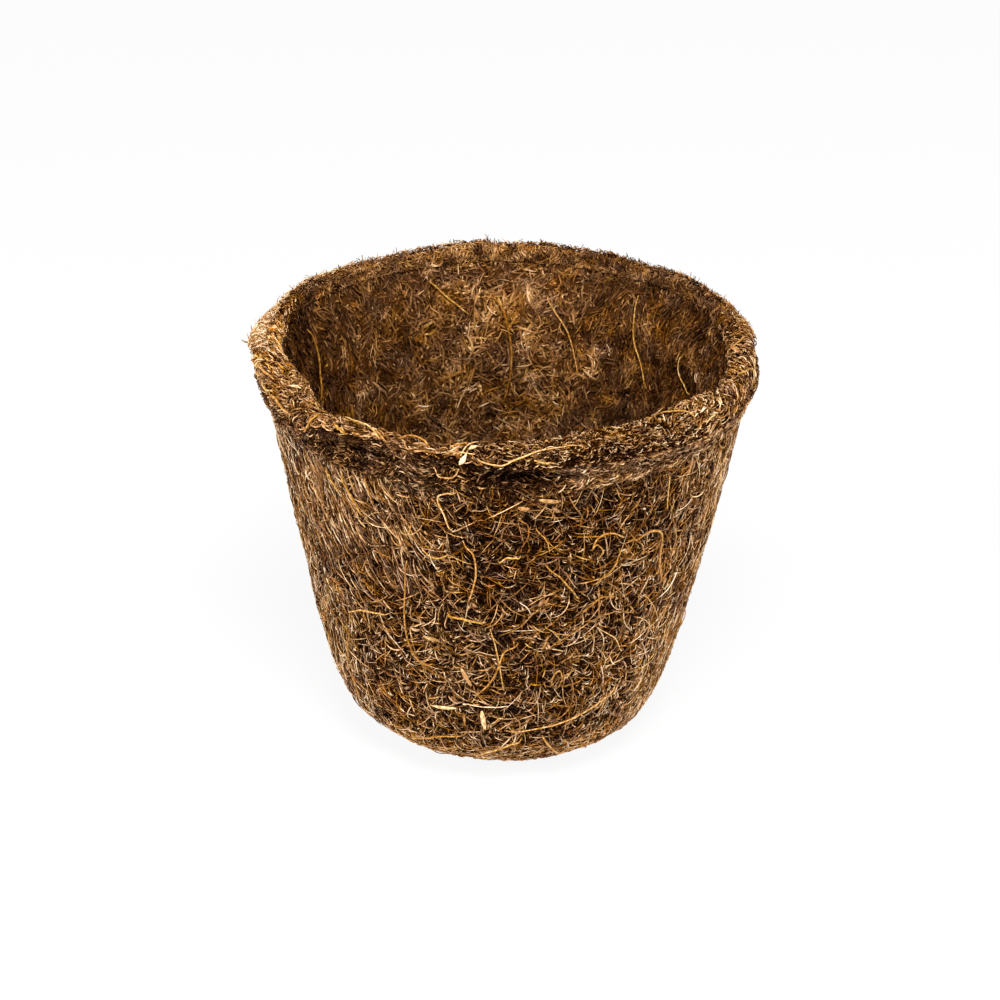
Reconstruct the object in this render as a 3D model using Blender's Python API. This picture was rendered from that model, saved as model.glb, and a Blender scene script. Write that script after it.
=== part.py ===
"""Coir plant pot, 65 mm across its rim and 55 mm tall.

A round cup pressed from coconut fibre. It has a flat floor, a large rounded base, a tapered wall
and a thick lip that overhangs the wall with a crease under it. The lip is uneven: it thins to a
flap over hollows at the front left, is folded inwards at the front right, and its inner side
slopes up to a thin edge round the back. Loose strands and flakes of husk lie on the felt, each
one a piece of its own.

Lengths are in millimetres and MM turns them into metres. +Z is up and the floor's underside is at
height 0. An azimuth of 0 degrees faces the front (-Y) and grows towards +X.
"""
import math

import bmesh
import bpy
from mathutils import Vector

MM = 0.001

# Driving sizes of the felt cup
RIM_DIAMETER = 65.0
POT_HEIGHT = 55.0
WALL_THICKNESS = 3.5
FLOOR_THICKNESS = 3.5
WALL_LEAN_DEG = 11.8
BASE_ROUND_RADIUS = 15.5
TOE_RADIUS = 8.0
TOE_TURN_DEG = 26.0

# Driving sizes of the lip
LIP_HEIGHT = 4.0
LIP_OVERHANG = 0.5
LIP_OUTER_ROUND = 1.2
LIP_INNER_ROUND = 1.0
LIP_LOWER_ROUND = 0.5
LIP_LOWER_START_DEG = -60.0
CREASE_DEPTH = 0.4
CREASE_HEIGHT = 0.9

# How far the hand-pressed shape strays from a turned one
OVALNESS = 0.25
OVAL_AZIMUTH_DEG = 70.0
LIP_RIPPLE = 0.5
LIP_DIP = 0.6
RIPPLE_WAVES = ((5, 1.0), (8, 2.3), (13, 3.1))
RIPPLE_PHASE = 0.7
DIP_PHASE = 1.9

# Profiles go round the cup as points of (azimuth in degrees, amount), eased from point to point and
# zero outside them. The rise of the lip's lower edge is a share of the lip's height, because the
# lip's top stays where it is. The thinning of the rim is a share of the wall's thickness, so that
# some of the wall is left. The others are lengths.
LOWER_EDGE_RISE = ((-54, 0.0), (-44, 0.65), (-24, 0.72), (-12, 0.60), (2, 0.38), (20, 0.28),
                   (60, 0.0))
LIP_FOLD = ((-92, 0.0), (-70, 2.0), (-50, 0.0), (-8, 0.3), (24, 2.8), (44, 1.8), (70, 0.0))
LIP_FOLD_REACH = 12.0
RIM_THINNING = ((-180, 0.54), (-122, 0.54), (-98, 0.0), (98, 0.0), (122, 0.54), (180, 0.54))
RIM_THINNING_REACH = 10.0
LIP_BULGE = ((-140, 0.0), (-128, 0.8), (-112, 0.0), (-103, 0.2), (-94, 0.6), (-86, 0.0))
WALL_PINCH = ((-140, 0.0), (-85, 0.75), (-30, 0.0))
WALL_PINCH_REACH = 32.0
BASE_SLIMMING = ((20, 0.0), (65, 0.9), (150, 0.0))
BASE_SLIMMING_HEIGHT = 38.0
FACE_MARGIN = 0.3

# Hollows under the lip as (azimuth in degrees, half width in degrees, depth): three where the lip
# has lifted off the wall at the front left, and a long shallow one at the front
HOLLOWS = ((-44.0, 2.8, 1.2), (-36.5, 3.4, 1.5), (-28.5, 3.0, 1.2), (7.0, 13.0, 0.9))

# Loose pieces
SEAT_GAP = 0.3
FINE_STRAND = 0.26
MIDDLE_STRAND = 0.36
THICK_STRAND = 0.52
STRAND_END_TAPER = 0.5
FLAKE_THICKNESS = 0.35
FLAKE_END_SHARE = 0.3
FLAKE_ROUNDNESS = 0.6

# Mesh resolution
RING_SEGMENTS = 96
TOE_STEPS = 3
BASE_STEPS = 7
WALL_STEPS = 5
INNER_WALL_STEPS = 9
ROUND_STEPS = 3
STRAND_STEPS = 9
LONG_STRAND_STEPS = 15
FLAKE_STATIONS = 6
BEVEL_RESOLUTION = 1
MERGE_DISTANCE = 0.001
AZIMUTH_STEP_DEG = 1.0
SHARE_STEP = 0.01

# Colours as (linear RGB, roughness)
FELT_BROWN = ((0.115, 0.058, 0.022), 0.95)
GOLDEN_FIBRE = ((0.42, 0.22, 0.075), 0.7)
PALE_FIBRE = ((0.68, 0.47, 0.24), 0.65)
BROWN_FIBRE = ((0.21, 0.095, 0.03), 0.75)
PALE_HUSK = ((0.80, 0.62, 0.40), 0.7)
BROWN_HUSK = ((0.33, 0.16, 0.055), 0.75)


def clear_scene():
    for thing in list(bpy.data.objects):
        bpy.data.objects.remove(thing, do_unlink=True)


def make_material(name, look):
    colour, roughness = look
    material = bpy.data.materials.new(name)
    material.use_nodes = True
    shader = material.node_tree.nodes["Principled BSDF"]
    shader.inputs["Base Color"].default_value = (*colour, 1.0)
    shader.inputs["Roughness"].default_value = roughness
    shader.inputs["Metallic"].default_value = 0.0
    material.diffuse_color = (*colour, 1.0)
    return material


def arc(centre, radius, start_deg, end_deg, steps):
    """Points on an arc, with angles from the +radius axis towards +height."""
    points = []
    for step in range(steps + 1):
        angle = math.radians(start_deg + (end_deg - start_deg) * step / steps)
        points.append((centre[0] + radius * math.cos(angle),
                       centre[1] + radius * math.sin(angle)))
    return points


def line(start, end, steps):
    """Points on a straight run, without its first point."""
    return [(start[0] + (end[0] - start[0]) * step / steps,
             start[1] + (end[1] - start[1]) * step / steps)
            for step in range(1, steps + 1)]


# Radius and height of each face of the turned section
LEAN = math.radians(WALL_LEAN_DEG)
RIM_RADIUS = RIM_DIAMETER / 2
CREASE_TOP = POT_HEIGHT - LIP_HEIGHT
CREASE_FOOT = CREASE_TOP - CREASE_HEIGHT
WALL_RADIUS_AT_FLOOR = RIM_RADIUS - LIP_OVERHANG - CREASE_TOP * math.tan(LEAN)
INNER_RADIUS_AT_FLOOR = WALL_RADIUS_AT_FLOOR - WALL_THICKNESS / math.cos(LEAN)


def wall_radius(height):
    return WALL_RADIUS_AT_FLOOR + height * math.tan(LEAN)


def inner_radius(height):
    return INNER_RADIUS_AT_FLOOR + height * math.tan(LEAN)


def outer_face():
    """From the floor's edge, round the toe and the base, up the wall to the foot of the crease."""
    toe_end_deg = TOE_TURN_DEG - 90.0
    turn = math.radians(toe_end_deg)
    centre_height = TOE_RADIUS - (BASE_ROUND_RADIUS - TOE_RADIUS) * math.sin(turn)
    centre_radius = wall_radius(centre_height) - BASE_ROUND_RADIUS / math.cos(LEAN)
    toe_centre = (centre_radius + (BASE_ROUND_RADIUS - TOE_RADIUS) * math.cos(turn), TOE_RADIUS)
    toe = arc(toe_centre, TOE_RADIUS, -90.0, toe_end_deg, TOE_STEPS)
    base = arc((centre_radius, centre_height), BASE_ROUND_RADIUS,
               toe_end_deg, -WALL_LEAN_DEG, BASE_STEPS)
    wall = line(base[-1], (wall_radius(CREASE_FOOT), CREASE_FOOT), WALL_STEPS)
    return toe + base[1:] + wall


def lip_face():
    """From the lip's lower edge, up its front, over its top and down to the inside of the cup."""
    lower = arc((RIM_RADIUS - LIP_LOWER_ROUND, CREASE_TOP + LIP_LOWER_ROUND), LIP_LOWER_ROUND,
                LIP_LOWER_START_DEG, 0.0, 1)
    outer = arc((RIM_RADIUS - LIP_OUTER_ROUND, POT_HEIGHT - LIP_OUTER_ROUND), LIP_OUTER_ROUND,
                0.0, 90.0, ROUND_STEPS)
    inner_centre_height = POT_HEIGHT - LIP_INNER_ROUND
    inner_centre_radius = inner_radius(inner_centre_height) + LIP_INNER_ROUND / math.cos(LEAN)
    inner = arc((inner_centre_radius, inner_centre_height), LIP_INNER_ROUND,
                90.0, 180.0 - WALL_LEAN_DEG, ROUND_STEPS)
    return lower + outer + inner


def inner_face():
    """From the inner floor's edge, round the inner base and up the inner wall to the lip."""
    radius = BASE_ROUND_RADIUS - WALL_THICKNESS
    centre_height = FLOOR_THICKNESS + radius
    centre_radius = inner_radius(centre_height) - radius / math.cos(LEAN)
    base = arc((centre_radius, centre_height), radius, -90.0, -WALL_LEAN_DEG, BASE_STEPS - 1)
    wall = line(base[-1], lip_face()[-1], INNER_WALL_STEPS)
    return base + wall


def ease(value, low, high):
    """0 up to the low value and 1 from the high one, with a smooth rise between."""
    rise = min(max((value - low) / (high - low), 0.0), 1.0)
    return rise * rise * (3.0 - 2.0 * rise)


def ripple(azimuth, phase):
    """An uneven wave round the rim, between -1 and 1."""
    return sum(math.sin(count * azimuth + shift * phase)
               for count, shift in RIPPLE_WAVES) / len(RIPPLE_WAVES)


def around(azimuth, profile):
    """A profile's amount at an azimuth."""
    degrees = (math.degrees(azimuth) + 180.0) % 360.0 - 180.0
    for (start, low), (end, high) in zip(profile, profile[1:]):
        if start <= degrees < end:
            return low + (high - low) * ease(degrees, start, end)
    return 0.0


def outwardness(radius, height):
    """0 at the inner face and 1 at the outer one, with a smooth change inside the wall."""
    return ease(radius, inner_radius(height) + FACE_MARGIN, wall_radius(height) - FACE_MARGIN)


def pressed(azimuth, radius, height):
    """World position in metres of a point of the turned shape once it is pressed by hand."""
    outward = outwardness(radius, height)
    at_lip = ease(height, CREASE_FOOT, POT_HEIGHT)
    oval = (1 - math.cos(2 * (azimuth - math.radians(OVAL_AZIMUTH_DEG)))) / 2
    inwards = OVALNESS * 2 * oval * height / POT_HEIGHT
    inwards += LIP_RIPPLE * at_lip * (1 + ripple(azimuth, RIPPLE_PHASE)) / 2
    inwards += (around(azimuth, LIP_FOLD) * (1 - outward)
                * ease(height, POT_HEIGHT - LIP_FOLD_REACH, POT_HEIGHT - LIP_INNER_ROUND))
    inwards -= (WALL_THICKNESS * around(azimuth, RIM_THINNING) * (1 - outward)
                * ease(height, POT_HEIGHT - RIM_THINNING_REACH, POT_HEIGHT - LIP_INNER_ROUND))
    inwards += (around(azimuth, WALL_PINCH) * outward
                * ease(height, CREASE_TOP - WALL_PINCH_REACH, CREASE_FOOT)
                * (1 - ease(height, CREASE_TOP, POT_HEIGHT - LIP_OUTER_ROUND)))
    up_the_base = math.sqrt(min(max(height, 0.0) / BASE_SLIMMING_HEIGHT, 1.0))
    inwards += around(azimuth, BASE_SLIMMING) * outward * math.sin(math.pi * up_the_base) ** 2
    inwards -= around(azimuth, LIP_BULGE) * outward * at_lip
    radius_now = radius - inwards * min(radius, 1.0)
    if height < CREASE_TOP:
        lifted = max(height - CREASE_FOOT, 0.0) / CREASE_HEIGHT
    else:
        lifted = max(POT_HEIGHT - height, 0.0) / LIP_HEIGHT
    rise = LIP_HEIGHT * around(azimuth, LOWER_EDGE_RISE) * outward * lifted
    dip = LIP_DIP * at_lip * (1 + ripple(azimuth, DIP_PHASE)) / 2
    return Vector((radius_now * math.sin(azimuth), -radius_now * math.cos(azimuth),
                   height + rise - dip)) * MM


def hollow_depth(azimuth):
    """How much deeper the crease is at this azimuth."""
    deepest = 0.0
    for centre_deg, half_width_deg, depth in HOLLOWS:
        across = (math.degrees(azimuth) - centre_deg) / half_width_deg
        deepest = max(deepest, depth * math.exp(-across * across))
    return deepest


def in_crease(radius, height):
    """Whether a point of the shell's outer face lies in the crease."""
    above_wall = height > CREASE_FOOT + MERGE_DISTANCE
    return above_wall and height < CREASE_TOP + MERGE_DISTANCE and outwardness(radius, height) > 0.5


def make_felt_shell(material):
    """Spin the section round the axis, then press it."""
    crease_radius = wall_radius(CREASE_TOP) - CREASE_DEPTH
    crease = [(crease_radius, CREASE_FOOT + CREASE_HEIGHT / 2), (crease_radius, CREASE_TOP)]
    section = ([(0.0, 0.0)] + outer_face() + crease + lip_face()
               + inner_face()[-2::-1] + [(0.0, FLOOR_THICKNESS)])
    shell = bmesh.new()
    verts = [shell.verts.new((radius, 0.0, height)) for radius, height in section]
    edges = [shell.edges.new(pair) for pair in zip(verts, verts[1:])]
    bmesh.ops.spin(shell, geom=verts + edges, cent=(0.0, 0.0, 0.0), axis=(0.0, 0.0, 1.0),
                   angle=math.tau, steps=RING_SEGMENTS, use_merge=True)
    bmesh.ops.remove_doubles(shell, verts=shell.verts, dist=MERGE_DISTANCE)
    for vert in shell.verts:
        radius = math.hypot(vert.co.x, vert.co.y)
        height = vert.co.z
        azimuth = math.atan2(vert.co.x, -vert.co.y)
        place = pressed(azimuth, radius, height)
        if in_crease(radius, height):
            inwards = Vector((-math.sin(azimuth), math.cos(azimuth), 0.0))
            place += inwards * hollow_depth(azimuth) * MM
        vert.co = place
    bmesh.ops.recalc_face_normals(shell, faces=shell.faces)
    mesh = bpy.data.meshes.new("felt_shell")
    shell.to_mesh(mesh)
    shell.free()
    mesh.shade_smooth()
    mesh.materials.append(material)
    return bpy.data.objects.new("felt_shell", mesh)


FACES = {"wall": outer_face(), "lip": lip_face(), "inside": inner_face()[::-1]}


def on_face(face, azimuth_deg, share, stand):
    """World point that stands off a face, at a share of the way along the face's section."""
    points = FACES[face]
    lengths = [math.dist(a, b) for a, b in zip(points, points[1:])]
    along = share * sum(lengths)
    index = 0
    while index < len(lengths) - 1 and along > lengths[index]:
        along -= lengths[index]
        index += 1
    start, end = points[index], points[index + 1]
    run = ((end[0] - start[0]) / lengths[index], (end[1] - start[1]) / lengths[index])
    radius = start[0] + run[0] * along + run[1] * stand
    height = start[1] + run[1] * along - run[0] * stand
    return pressed(math.radians(azimuth_deg), radius, height)


def smooth_route(points, steps):
    """Even samples of a smooth curve through the route's own points."""
    first = [2 * a - b for a, b in zip(points[0], points[1])]
    last = [2 * a - b for a, b in zip(points[-1], points[-2])]
    padded = [first, *points, last]
    spans = len(points) - 1
    samples = []
    for step in range(steps + 1):
        place = step / steps * spans
        span = min(int(place), spans - 1)
        t = place - span
        before, start, end, after = padded[span:span + 4]
        samples.append([0.5 * (2 * start[k] + (end[k] - before[k]) * t
                               + (2 * before[k] - 5 * start[k] + 4 * end[k] - after[k]) * t * t
                               + (3 * start[k] - before[k] - 3 * end[k] + after[k]) * t ** 3)
                        for k in range(2)])
    return samples


def make_strand(name, face, diameter, route, material, steps=STRAND_STEPS):
    """A round fibre that lies along a face, thinner towards its ends."""
    stand = diameter / 2 + SEAT_GAP
    places = [on_face(face, azimuth, share, stand) for azimuth, share in smooth_route(route, steps)]
    origin = places[len(places) // 2]
    curve = bpy.data.curves.new(name, "CURVE")
    curve.dimensions = "3D"
    curve.bevel_depth = diameter / 2 * MM
    curve.bevel_resolution = BEVEL_RESOLUTION
    curve.use_fill_caps = True
    spline = curve.splines.new("POLY")
    spline.points.add(len(places) - 1)
    for index, (point, place) in enumerate(zip(spline.points, places)):
        point.co = (*(place - origin), 1.0)
        fullness = math.sin(math.pi * index / steps) ** 0.5 if 0 < index < steps else 0.0
        point.radius = STRAND_END_TAPER + (1.0 - STRAND_END_TAPER) * fullness
    curve.materials.append(material)
    strand = bpy.data.objects.new(name, curve)
    strand.location = origin
    return strand


def make_flake(name, face, start, end, width, material):
    """A thin scrap of husk, bent to the face it lies on and narrow at both ends."""
    flake = bmesh.new()
    rings = []
    origin = on_face(face, (start[0] + end[0]) / 2, (start[1] + end[1]) / 2, SEAT_GAP)
    lower = on_face(face, *start, SEAT_GAP)
    upper = on_face(face, *end, SEAT_GAP)
    length = (upper - lower).length / MM
    turn_per_mm = (end[0] - start[0]) / length
    climb_per_mm = (end[1] - start[1]) / length
    beside = on_face(face, start[0] + AZIMUTH_STEP_DEG, start[1], SEAT_GAP)
    above = on_face(face, start[0], start[1] + SHARE_STEP, SEAT_GAP)
    azimuth_mm = (beside - lower).length / MM / AZIMUTH_STEP_DEG
    share_mm = (above - lower).length / MM / SHARE_STEP
    for station in range(FLAKE_STATIONS):
        t = station / (FLAKE_STATIONS - 1)
        fullness = math.sin(math.pi * t) ** FLAKE_ROUNDNESS if 0 < t < 1 else 0.0
        half = width / 2 * (FLAKE_END_SHARE + (1.0 - FLAKE_END_SHARE) * fullness)
        middle = (start[0] + (end[0] - start[0]) * t, start[1] + (end[1] - start[1]) * t)
        across = (climb_per_mm * share_mm / azimuth_mm, -turn_per_mm * azimuth_mm / share_mm)
        ring = []
        for side, stand in ((-half, SEAT_GAP), (half, SEAT_GAP),
                            (half, SEAT_GAP + FLAKE_THICKNESS),
                            (-half, SEAT_GAP + FLAKE_THICKNESS)):
            place = on_face(face, middle[0] + across[0] * side, middle[1] + across[1] * side, stand)
            ring.append(flake.verts.new(place - origin))
        rings.append(ring)
    for ring, following in zip(rings, rings[1:]):
        for corner in range(4):
            beside = (corner + 1) % 4
            flake.faces.new((ring[corner], ring[beside], following[beside], following[corner]))
    flake.faces.new(rings[0][::-1])
    flake.faces.new(rings[-1])
    bmesh.ops.recalc_face_normals(flake, faces=flake.faces)
    mesh = bpy.data.meshes.new(name)
    flake.to_mesh(mesh)
    flake.free()
    mesh.materials.append(material)
    scrap = bpy.data.objects.new(name, mesh)
    scrap.location = origin
    return scrap


# Strands as (name, diameter, look, route). A route's points are an azimuth in degrees and a share
# of the way up the wall, across the lip from its lower edge to the inside, or down the inside.
WALL_STRANDS = (
    ("wall_strand_flake_tail", MIDDLE_STRAND, "pale",
     ((-11, 0.975), (-14, 0.972), (-15.3, 0.955), (-14, 0.92), (-12.5, 0.87))),
    ("wall_strand_hook_left", MIDDLE_STRAND, "golden",
     ((-25, 0.77), (-26.5, 0.68), (-28, 0.55), (-25, 0.48), (-21, 0.47))),
    ("wall_strand_loop", MIDDLE_STRAND, "golden",
     ((-10, 0.84), (-7.5, 0.81), (-7, 0.76), (-8, 0.71), (-9.5, 0.67))),
    ("wall_strand_arch", MIDDLE_STRAND, "golden", ((-20.5, 0.81), (-17, 0.79), (-14, 0.80))),
    ("wall_strand_thick", THICK_STRAND, "golden", ((-15, 0.635), (-11, 0.63), (-5, 0.615))),
    ("wall_strand_low_left", MIDDLE_STRAND, "pale", ((-33, 0.59), (-42, 0.575), (-50, 0.54))),
    ("wall_strand_left_drop", FINE_STRAND, "golden", ((-53, 0.45), (-56, 0.36), (-53, 0.27))),
    ("wall_strand_slant_long", THICK_STRAND, "golden",
     ((-40.5, 0.96), (-38.5, 0.915), (-36, 0.86))),
    ("wall_strand_slant_short", MIDDLE_STRAND, "golden",
     ((-46, 0.955), (-44.5, 0.93), (-43, 0.90))),
    ("wall_strand_upright_left", MIDDLE_STRAND, "brown",
     ((-33.5, 0.97), (-32.5, 0.94), (-32, 0.90))),
    ("wall_strand_hook_right", THICK_STRAND, "golden",
     ((33, 0.80), (38, 0.82), (42, 0.79), (43.5, 0.71), (47, 0.63))),
    ("wall_strand_arch_right", MIDDLE_STRAND, "golden",
     ((21.5, 0.80), (22.5, 0.835), (26, 0.845), (30.5, 0.82))),
    ("wall_strand_branch", MIDDLE_STRAND, "brown", ((29.5, 0.79), (28, 0.74), (23, 0.70))),
    ("wall_strand_upright_right", FINE_STRAND, "pale", ((41, 0.96), (41.5, 0.91), (42, 0.86))),
    ("wall_strand_diagonal", MIDDLE_STRAND, "golden", ((10, 0.78), (15, 0.73), (20, 0.665))),
    ("wall_strand_bend", FINE_STRAND, "brown", ((3, 0.92), (5.5, 0.89), (5.5, 0.86), (4, 0.83))),
    ("wall_strand_short_bend", FINE_STRAND, "golden", ((7.5, 0.88), (10, 0.85), (11, 0.815))),
    ("wall_strand_short_pale", MIDDLE_STRAND, "pale", ((-1.5, 0.79), (1, 0.805), (4, 0.805))),
    ("wall_strand_crest", MIDDLE_STRAND, "golden", ((21, 0.625), (26, 0.66), (30.5, 0.65))),
    ("wall_strand_s_curve", MIDDLE_STRAND, "golden",
     ((4, 0.55), (0, 0.53), (-2, 0.48), (-4.5, 0.435), (-9, 0.39))),
    ("wall_strand_tail_right", FINE_STRAND, "pale", ((27, 0.565), (32, 0.53), (36.5, 0.47))),
    ("wall_strand_low_right", FINE_STRAND, "golden", ((41.2, 0.62), (45, 0.58), (49, 0.53))),
    ("wall_strand_loop_low", FINE_STRAND, "golden",
     ((13.8, 0.415), (14.3, 0.45), (16.0, 0.465), (17.0, 0.44), (15.9, 0.41))),
    ("wall_strand_bend_low", FINE_STRAND, "golden", ((11, 0.60), (14, 0.58), (15.5, 0.55))),
    ("base_strand_long", MIDDLE_STRAND, "pale",
     ((0, 0.285), (12, 0.30), (22, 0.315), (30, 0.34), (37, 0.37))),
    ("base_strand_left", MIDDLE_STRAND, "golden", ((-36, 0.20), (-24, 0.245), (-12, 0.27))),
    ("base_strand_low", MIDDLE_STRAND, "pale", ((-11, 0.185), (-2, 0.225), (6, 0.255))),
    ("base_strand_drop", THICK_STRAND, "golden", ((12.5, 0.265), (16, 0.22), (21, 0.16))),
    ("base_strand_right", FINE_STRAND, "golden", ((33, 0.23), (32, 0.19), (34, 0.14))),
)
LIP_STRANDS = (
    ("rim_strand_long", MIDDLE_STRAND, "pale",
     ((-6.2, 0.37), (-3, 0.23), (0, 0.25), (3.5, 0.46), (9, 0.60), (18.5, 0.62))),
    ("rim_strand_upright", THICK_STRAND, "golden", ((-12.5, 0.66), (-11, 0.74), (-9, 0.83))),
    ("rim_strand_left_thick", THICK_STRAND, "golden",
     ((-47.2, 0.65), (-47.8, 0.48), (-48.8, 0.24), (-50.5, 0.05))),
    ("rim_strand_lower_edge", THICK_STRAND, "golden",
     ((-65, 0.45), (-61.3, 0.41), (-56, 0.32))),
    ("rim_strand_upper_edge", THICK_STRAND, "golden",
     ((-80, 0.50), (-75.8, 0.55), (-71, 0.60))),
    ("rim_strand_hollow", THICK_STRAND, "golden", ((-42, 0.58), (-39.5, 0.45), (-37, 0.30))),
    ("rim_strand_fork", MIDDLE_STRAND, "golden", ((-32, 0.72), (-29.5, 0.62), (-27.2, 0.52))),
    ("rim_strand_arc_right", MIDDLE_STRAND, "golden",
     ((43, 0.80), (45.2, 0.73), (47, 0.63), (47.5, 0.50))),
    ("rim_strand_right_pale", MIDDLE_STRAND, "pale", ((49.8, 0.38), (51.8, 0.40), (53.8, 0.42))),
    ("rim_strand_right_curl", FINE_STRAND, "golden",
     ((54.5, 0.34), (56.2, 0.29), (58.2, 0.27), (59.5, 0.34), (59.8, 0.40))),
)
INSIDE_STRANDS = (
    ("inner_strand_left", THICK_STRAND, "brown",
     ((-117.5, 0.07), (-116.5, 0.13), (-115, 0.17), (-112, 0.23))),
    ("inner_strand_back_left", MIDDLE_STRAND, "golden",
     ((-160, 0.06), (-164.5, 0.10), (-170, 0.14))),
    ("inner_strand_back", MIDDLE_STRAND, "golden", ((168, 0.10), (161, 0.17), (156, 0.28))),
    ("inner_strand_back_right", MIDDLE_STRAND, "golden",
     ((142.2, 0.06), (139.5, 0.15), (135.2, 0.20), (132, 0.26))),
    ("inner_strand_centre", THICK_STRAND, "brown",
     ((183, 0.10), (179.8, 0.14), (177.8, 0.22), (178, 0.29), (180.2, 0.36))),
    ("inner_strand_right", FINE_STRAND, "pale", ((119.8, 0.14), (118.5, 0.18), (112, 0.21))),
)

# Flakes as (name, face, start, end, width, look), with the same places as the strands
HUSK_FLAKES = (
    ("rim_flake_pale", "lip", (-8.8, 0.50), (-10.3, 0.05), 1.0, "husk_pale"),
    ("rim_flake_small", "lip", (-8.0, 0.60), (-6.2, 0.70), 0.7, "husk_pale"),
    ("rim_flake_left", "lip", (-64.5, 0.66), (-61.5, 0.76), 0.7, "husk_pale"),
    ("husk_chip_front", "wall", (8.0, 0.965), (12.3, 0.96), 0.8, "husk_brown"),
    ("husk_chip_small", "wall", (3.0, 0.945), (5.6, 0.94), 0.7, "husk_brown"),
    ("husk_chip_low", "wall", (-22.0, 0.35), (-15.0, 0.355), 0.7, "husk_pale"),
    ("husk_chip_left", "wall", (-22.5, 0.555), (-18.0, 0.55), 0.9, "husk_brown"),
    ("husk_splinter", "wall", (-6.8, 0.35), (-6.0, 0.30), 0.8, "husk_pale"),
    ("husk_sliver", "wall", (-12.4, 0.475), (-9.6, 0.43), 0.7, "husk_brown"),
)


def main():
    clear_scene()
    looks = {"felt": make_material("felt_brown", FELT_BROWN),
             "golden": make_material("fibre_golden", GOLDEN_FIBRE),
             "pale": make_material("fibre_pale", PALE_FIBRE),
             "brown": make_material("fibre_brown", BROWN_FIBRE),
             "husk_pale": make_material("husk_pale", PALE_HUSK),
             "husk_brown": make_material("husk_brown", BROWN_HUSK)}
    pieces = [make_felt_shell(looks["felt"])]
    for face, strands in (("wall", WALL_STRANDS), ("lip", LIP_STRANDS),
                          ("inside", INSIDE_STRANDS)):
        for name, diameter, look, route in strands:
            steps = LONG_STRAND_STEPS if len(route) > 3 else STRAND_STEPS
            pieces.append(make_strand(name, face, diameter, route, looks[look], steps))
    for name, face, start, end, width, look in HUSK_FLAKES:
        pieces.append(make_flake(name, face, start, end, width, looks[look]))
    pot = bpy.data.objects.new("coir_pot", None)
    bpy.context.collection.objects.link(pot)
    for piece in pieces:
        bpy.context.collection.objects.link(piece)
        piece.parent = pot


main()
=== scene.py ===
"""Looks of a coir plant pot: a dark felt core under coats of real coconut fibres.

Lengths are in millimetres until a mesh is written, when MM turns them into metres. An azimuth of
0 degrees faces the camera (-Y) and grows towards +X. A place on the felt is an azimuth and a
distance `along` the section, which runs from the middle of the underside, round the base, up the
wall, over the lip and down the inside to the middle of the floor. A place may also stand off the
felt, outwards, by `stand`.
"""
import math

import bpy
import numpy as np
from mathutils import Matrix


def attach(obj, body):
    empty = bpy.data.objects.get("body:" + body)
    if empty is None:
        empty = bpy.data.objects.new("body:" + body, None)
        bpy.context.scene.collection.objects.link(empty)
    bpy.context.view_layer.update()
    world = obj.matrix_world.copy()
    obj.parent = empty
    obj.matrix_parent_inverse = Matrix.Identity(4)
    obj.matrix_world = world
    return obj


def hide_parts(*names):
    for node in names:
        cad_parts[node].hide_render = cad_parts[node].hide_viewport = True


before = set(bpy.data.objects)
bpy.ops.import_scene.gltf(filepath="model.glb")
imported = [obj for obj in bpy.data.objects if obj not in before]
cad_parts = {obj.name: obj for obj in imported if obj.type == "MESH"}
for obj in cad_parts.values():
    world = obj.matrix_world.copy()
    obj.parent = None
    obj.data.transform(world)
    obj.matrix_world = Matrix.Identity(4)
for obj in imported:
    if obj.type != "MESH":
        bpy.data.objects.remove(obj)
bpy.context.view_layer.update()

MM = 0.001

# The pressed cup, with the sizes of the solid that the frame holds
RIM_RADIUS = 32.5
POT_HEIGHT = 55.0
WALL_THICKNESS = 3.5
FLOOR_THICKNESS = 3.5
WALL_LEAN_DEG = 11.8
BASE_ROUND_RADIUS = 15.5
TOE_RADIUS = 8.0
TOE_TURN_DEG = 26.0
LIP_HEIGHT = 4.0
LIP_OVERHANG = 0.5
LIP_OUTER_ROUND = 1.2
LIP_INNER_ROUND = 1.0
LIP_LOWER_ROUND = 0.5
LIP_LOWER_START_DEG = -60.0
CREASE_DEPTH = 0.4
CREASE_HEIGHT = 0.9
OVALNESS = 0.25
OVAL_AZIMUTH_DEG = 70.0
LIP_RIPPLE = 0.5
LIP_DIP = 0.6
RIPPLE_WAVES = ((5, 1.0), (8, 2.3), (13, 3.1))
RIPPLE_PHASE = 0.7
DIP_PHASE = 1.9
FACE_MARGIN = 0.3

# Profiles round the cup: points of (azimuth in degrees, amount), eased from point to point
LOWER_EDGE_RISE = ((-54, 0.0), (-44, 0.65), (-24, 0.72), (-12, 0.60), (2, 0.38), (20, 0.28),
                   (60, 0.0))
LIP_FOLD = ((-92, 0.0), (-70, 2.0), (-50, 0.0), (-8, 0.3), (24, 2.8), (44, 1.8), (70, 0.0))
LIP_FOLD_REACH = 12.0
RIM_THINNING = ((-180, 0.54), (-122, 0.54), (-98, 0.0), (98, 0.0), (122, 0.54), (180, 0.54))
RIM_THINNING_REACH = 10.0
LIP_BULGE = ((-140, 0.0), (-128, 0.8), (-112, 0.0), (-103, 0.2), (-94, 0.6), (-86, 0.0))
WALL_PINCH = ((-140, 0.0), (-85, 0.75), (-30, 0.0))
WALL_PINCH_REACH = 32.0
BASE_SLIMMING = ((20, 0.0), (65, 0.9), (150, 0.0))
BASE_SLIMMING_HEIGHT = 38.0
HOLLOWS = ((-44.0, 2.8, 1.2), (-36.5, 3.4, 1.5), (-28.5, 3.0, 1.2), (7.0, 13.0, 0.9))


# Section of the cup


def arc(centre, radius, start_deg, end_deg, steps):
    angles = np.radians(np.linspace(start_deg, end_deg, steps + 1))
    return np.stack([centre[0] + radius * np.cos(angles), centre[1] + radius * np.sin(angles)], 1)


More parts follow.
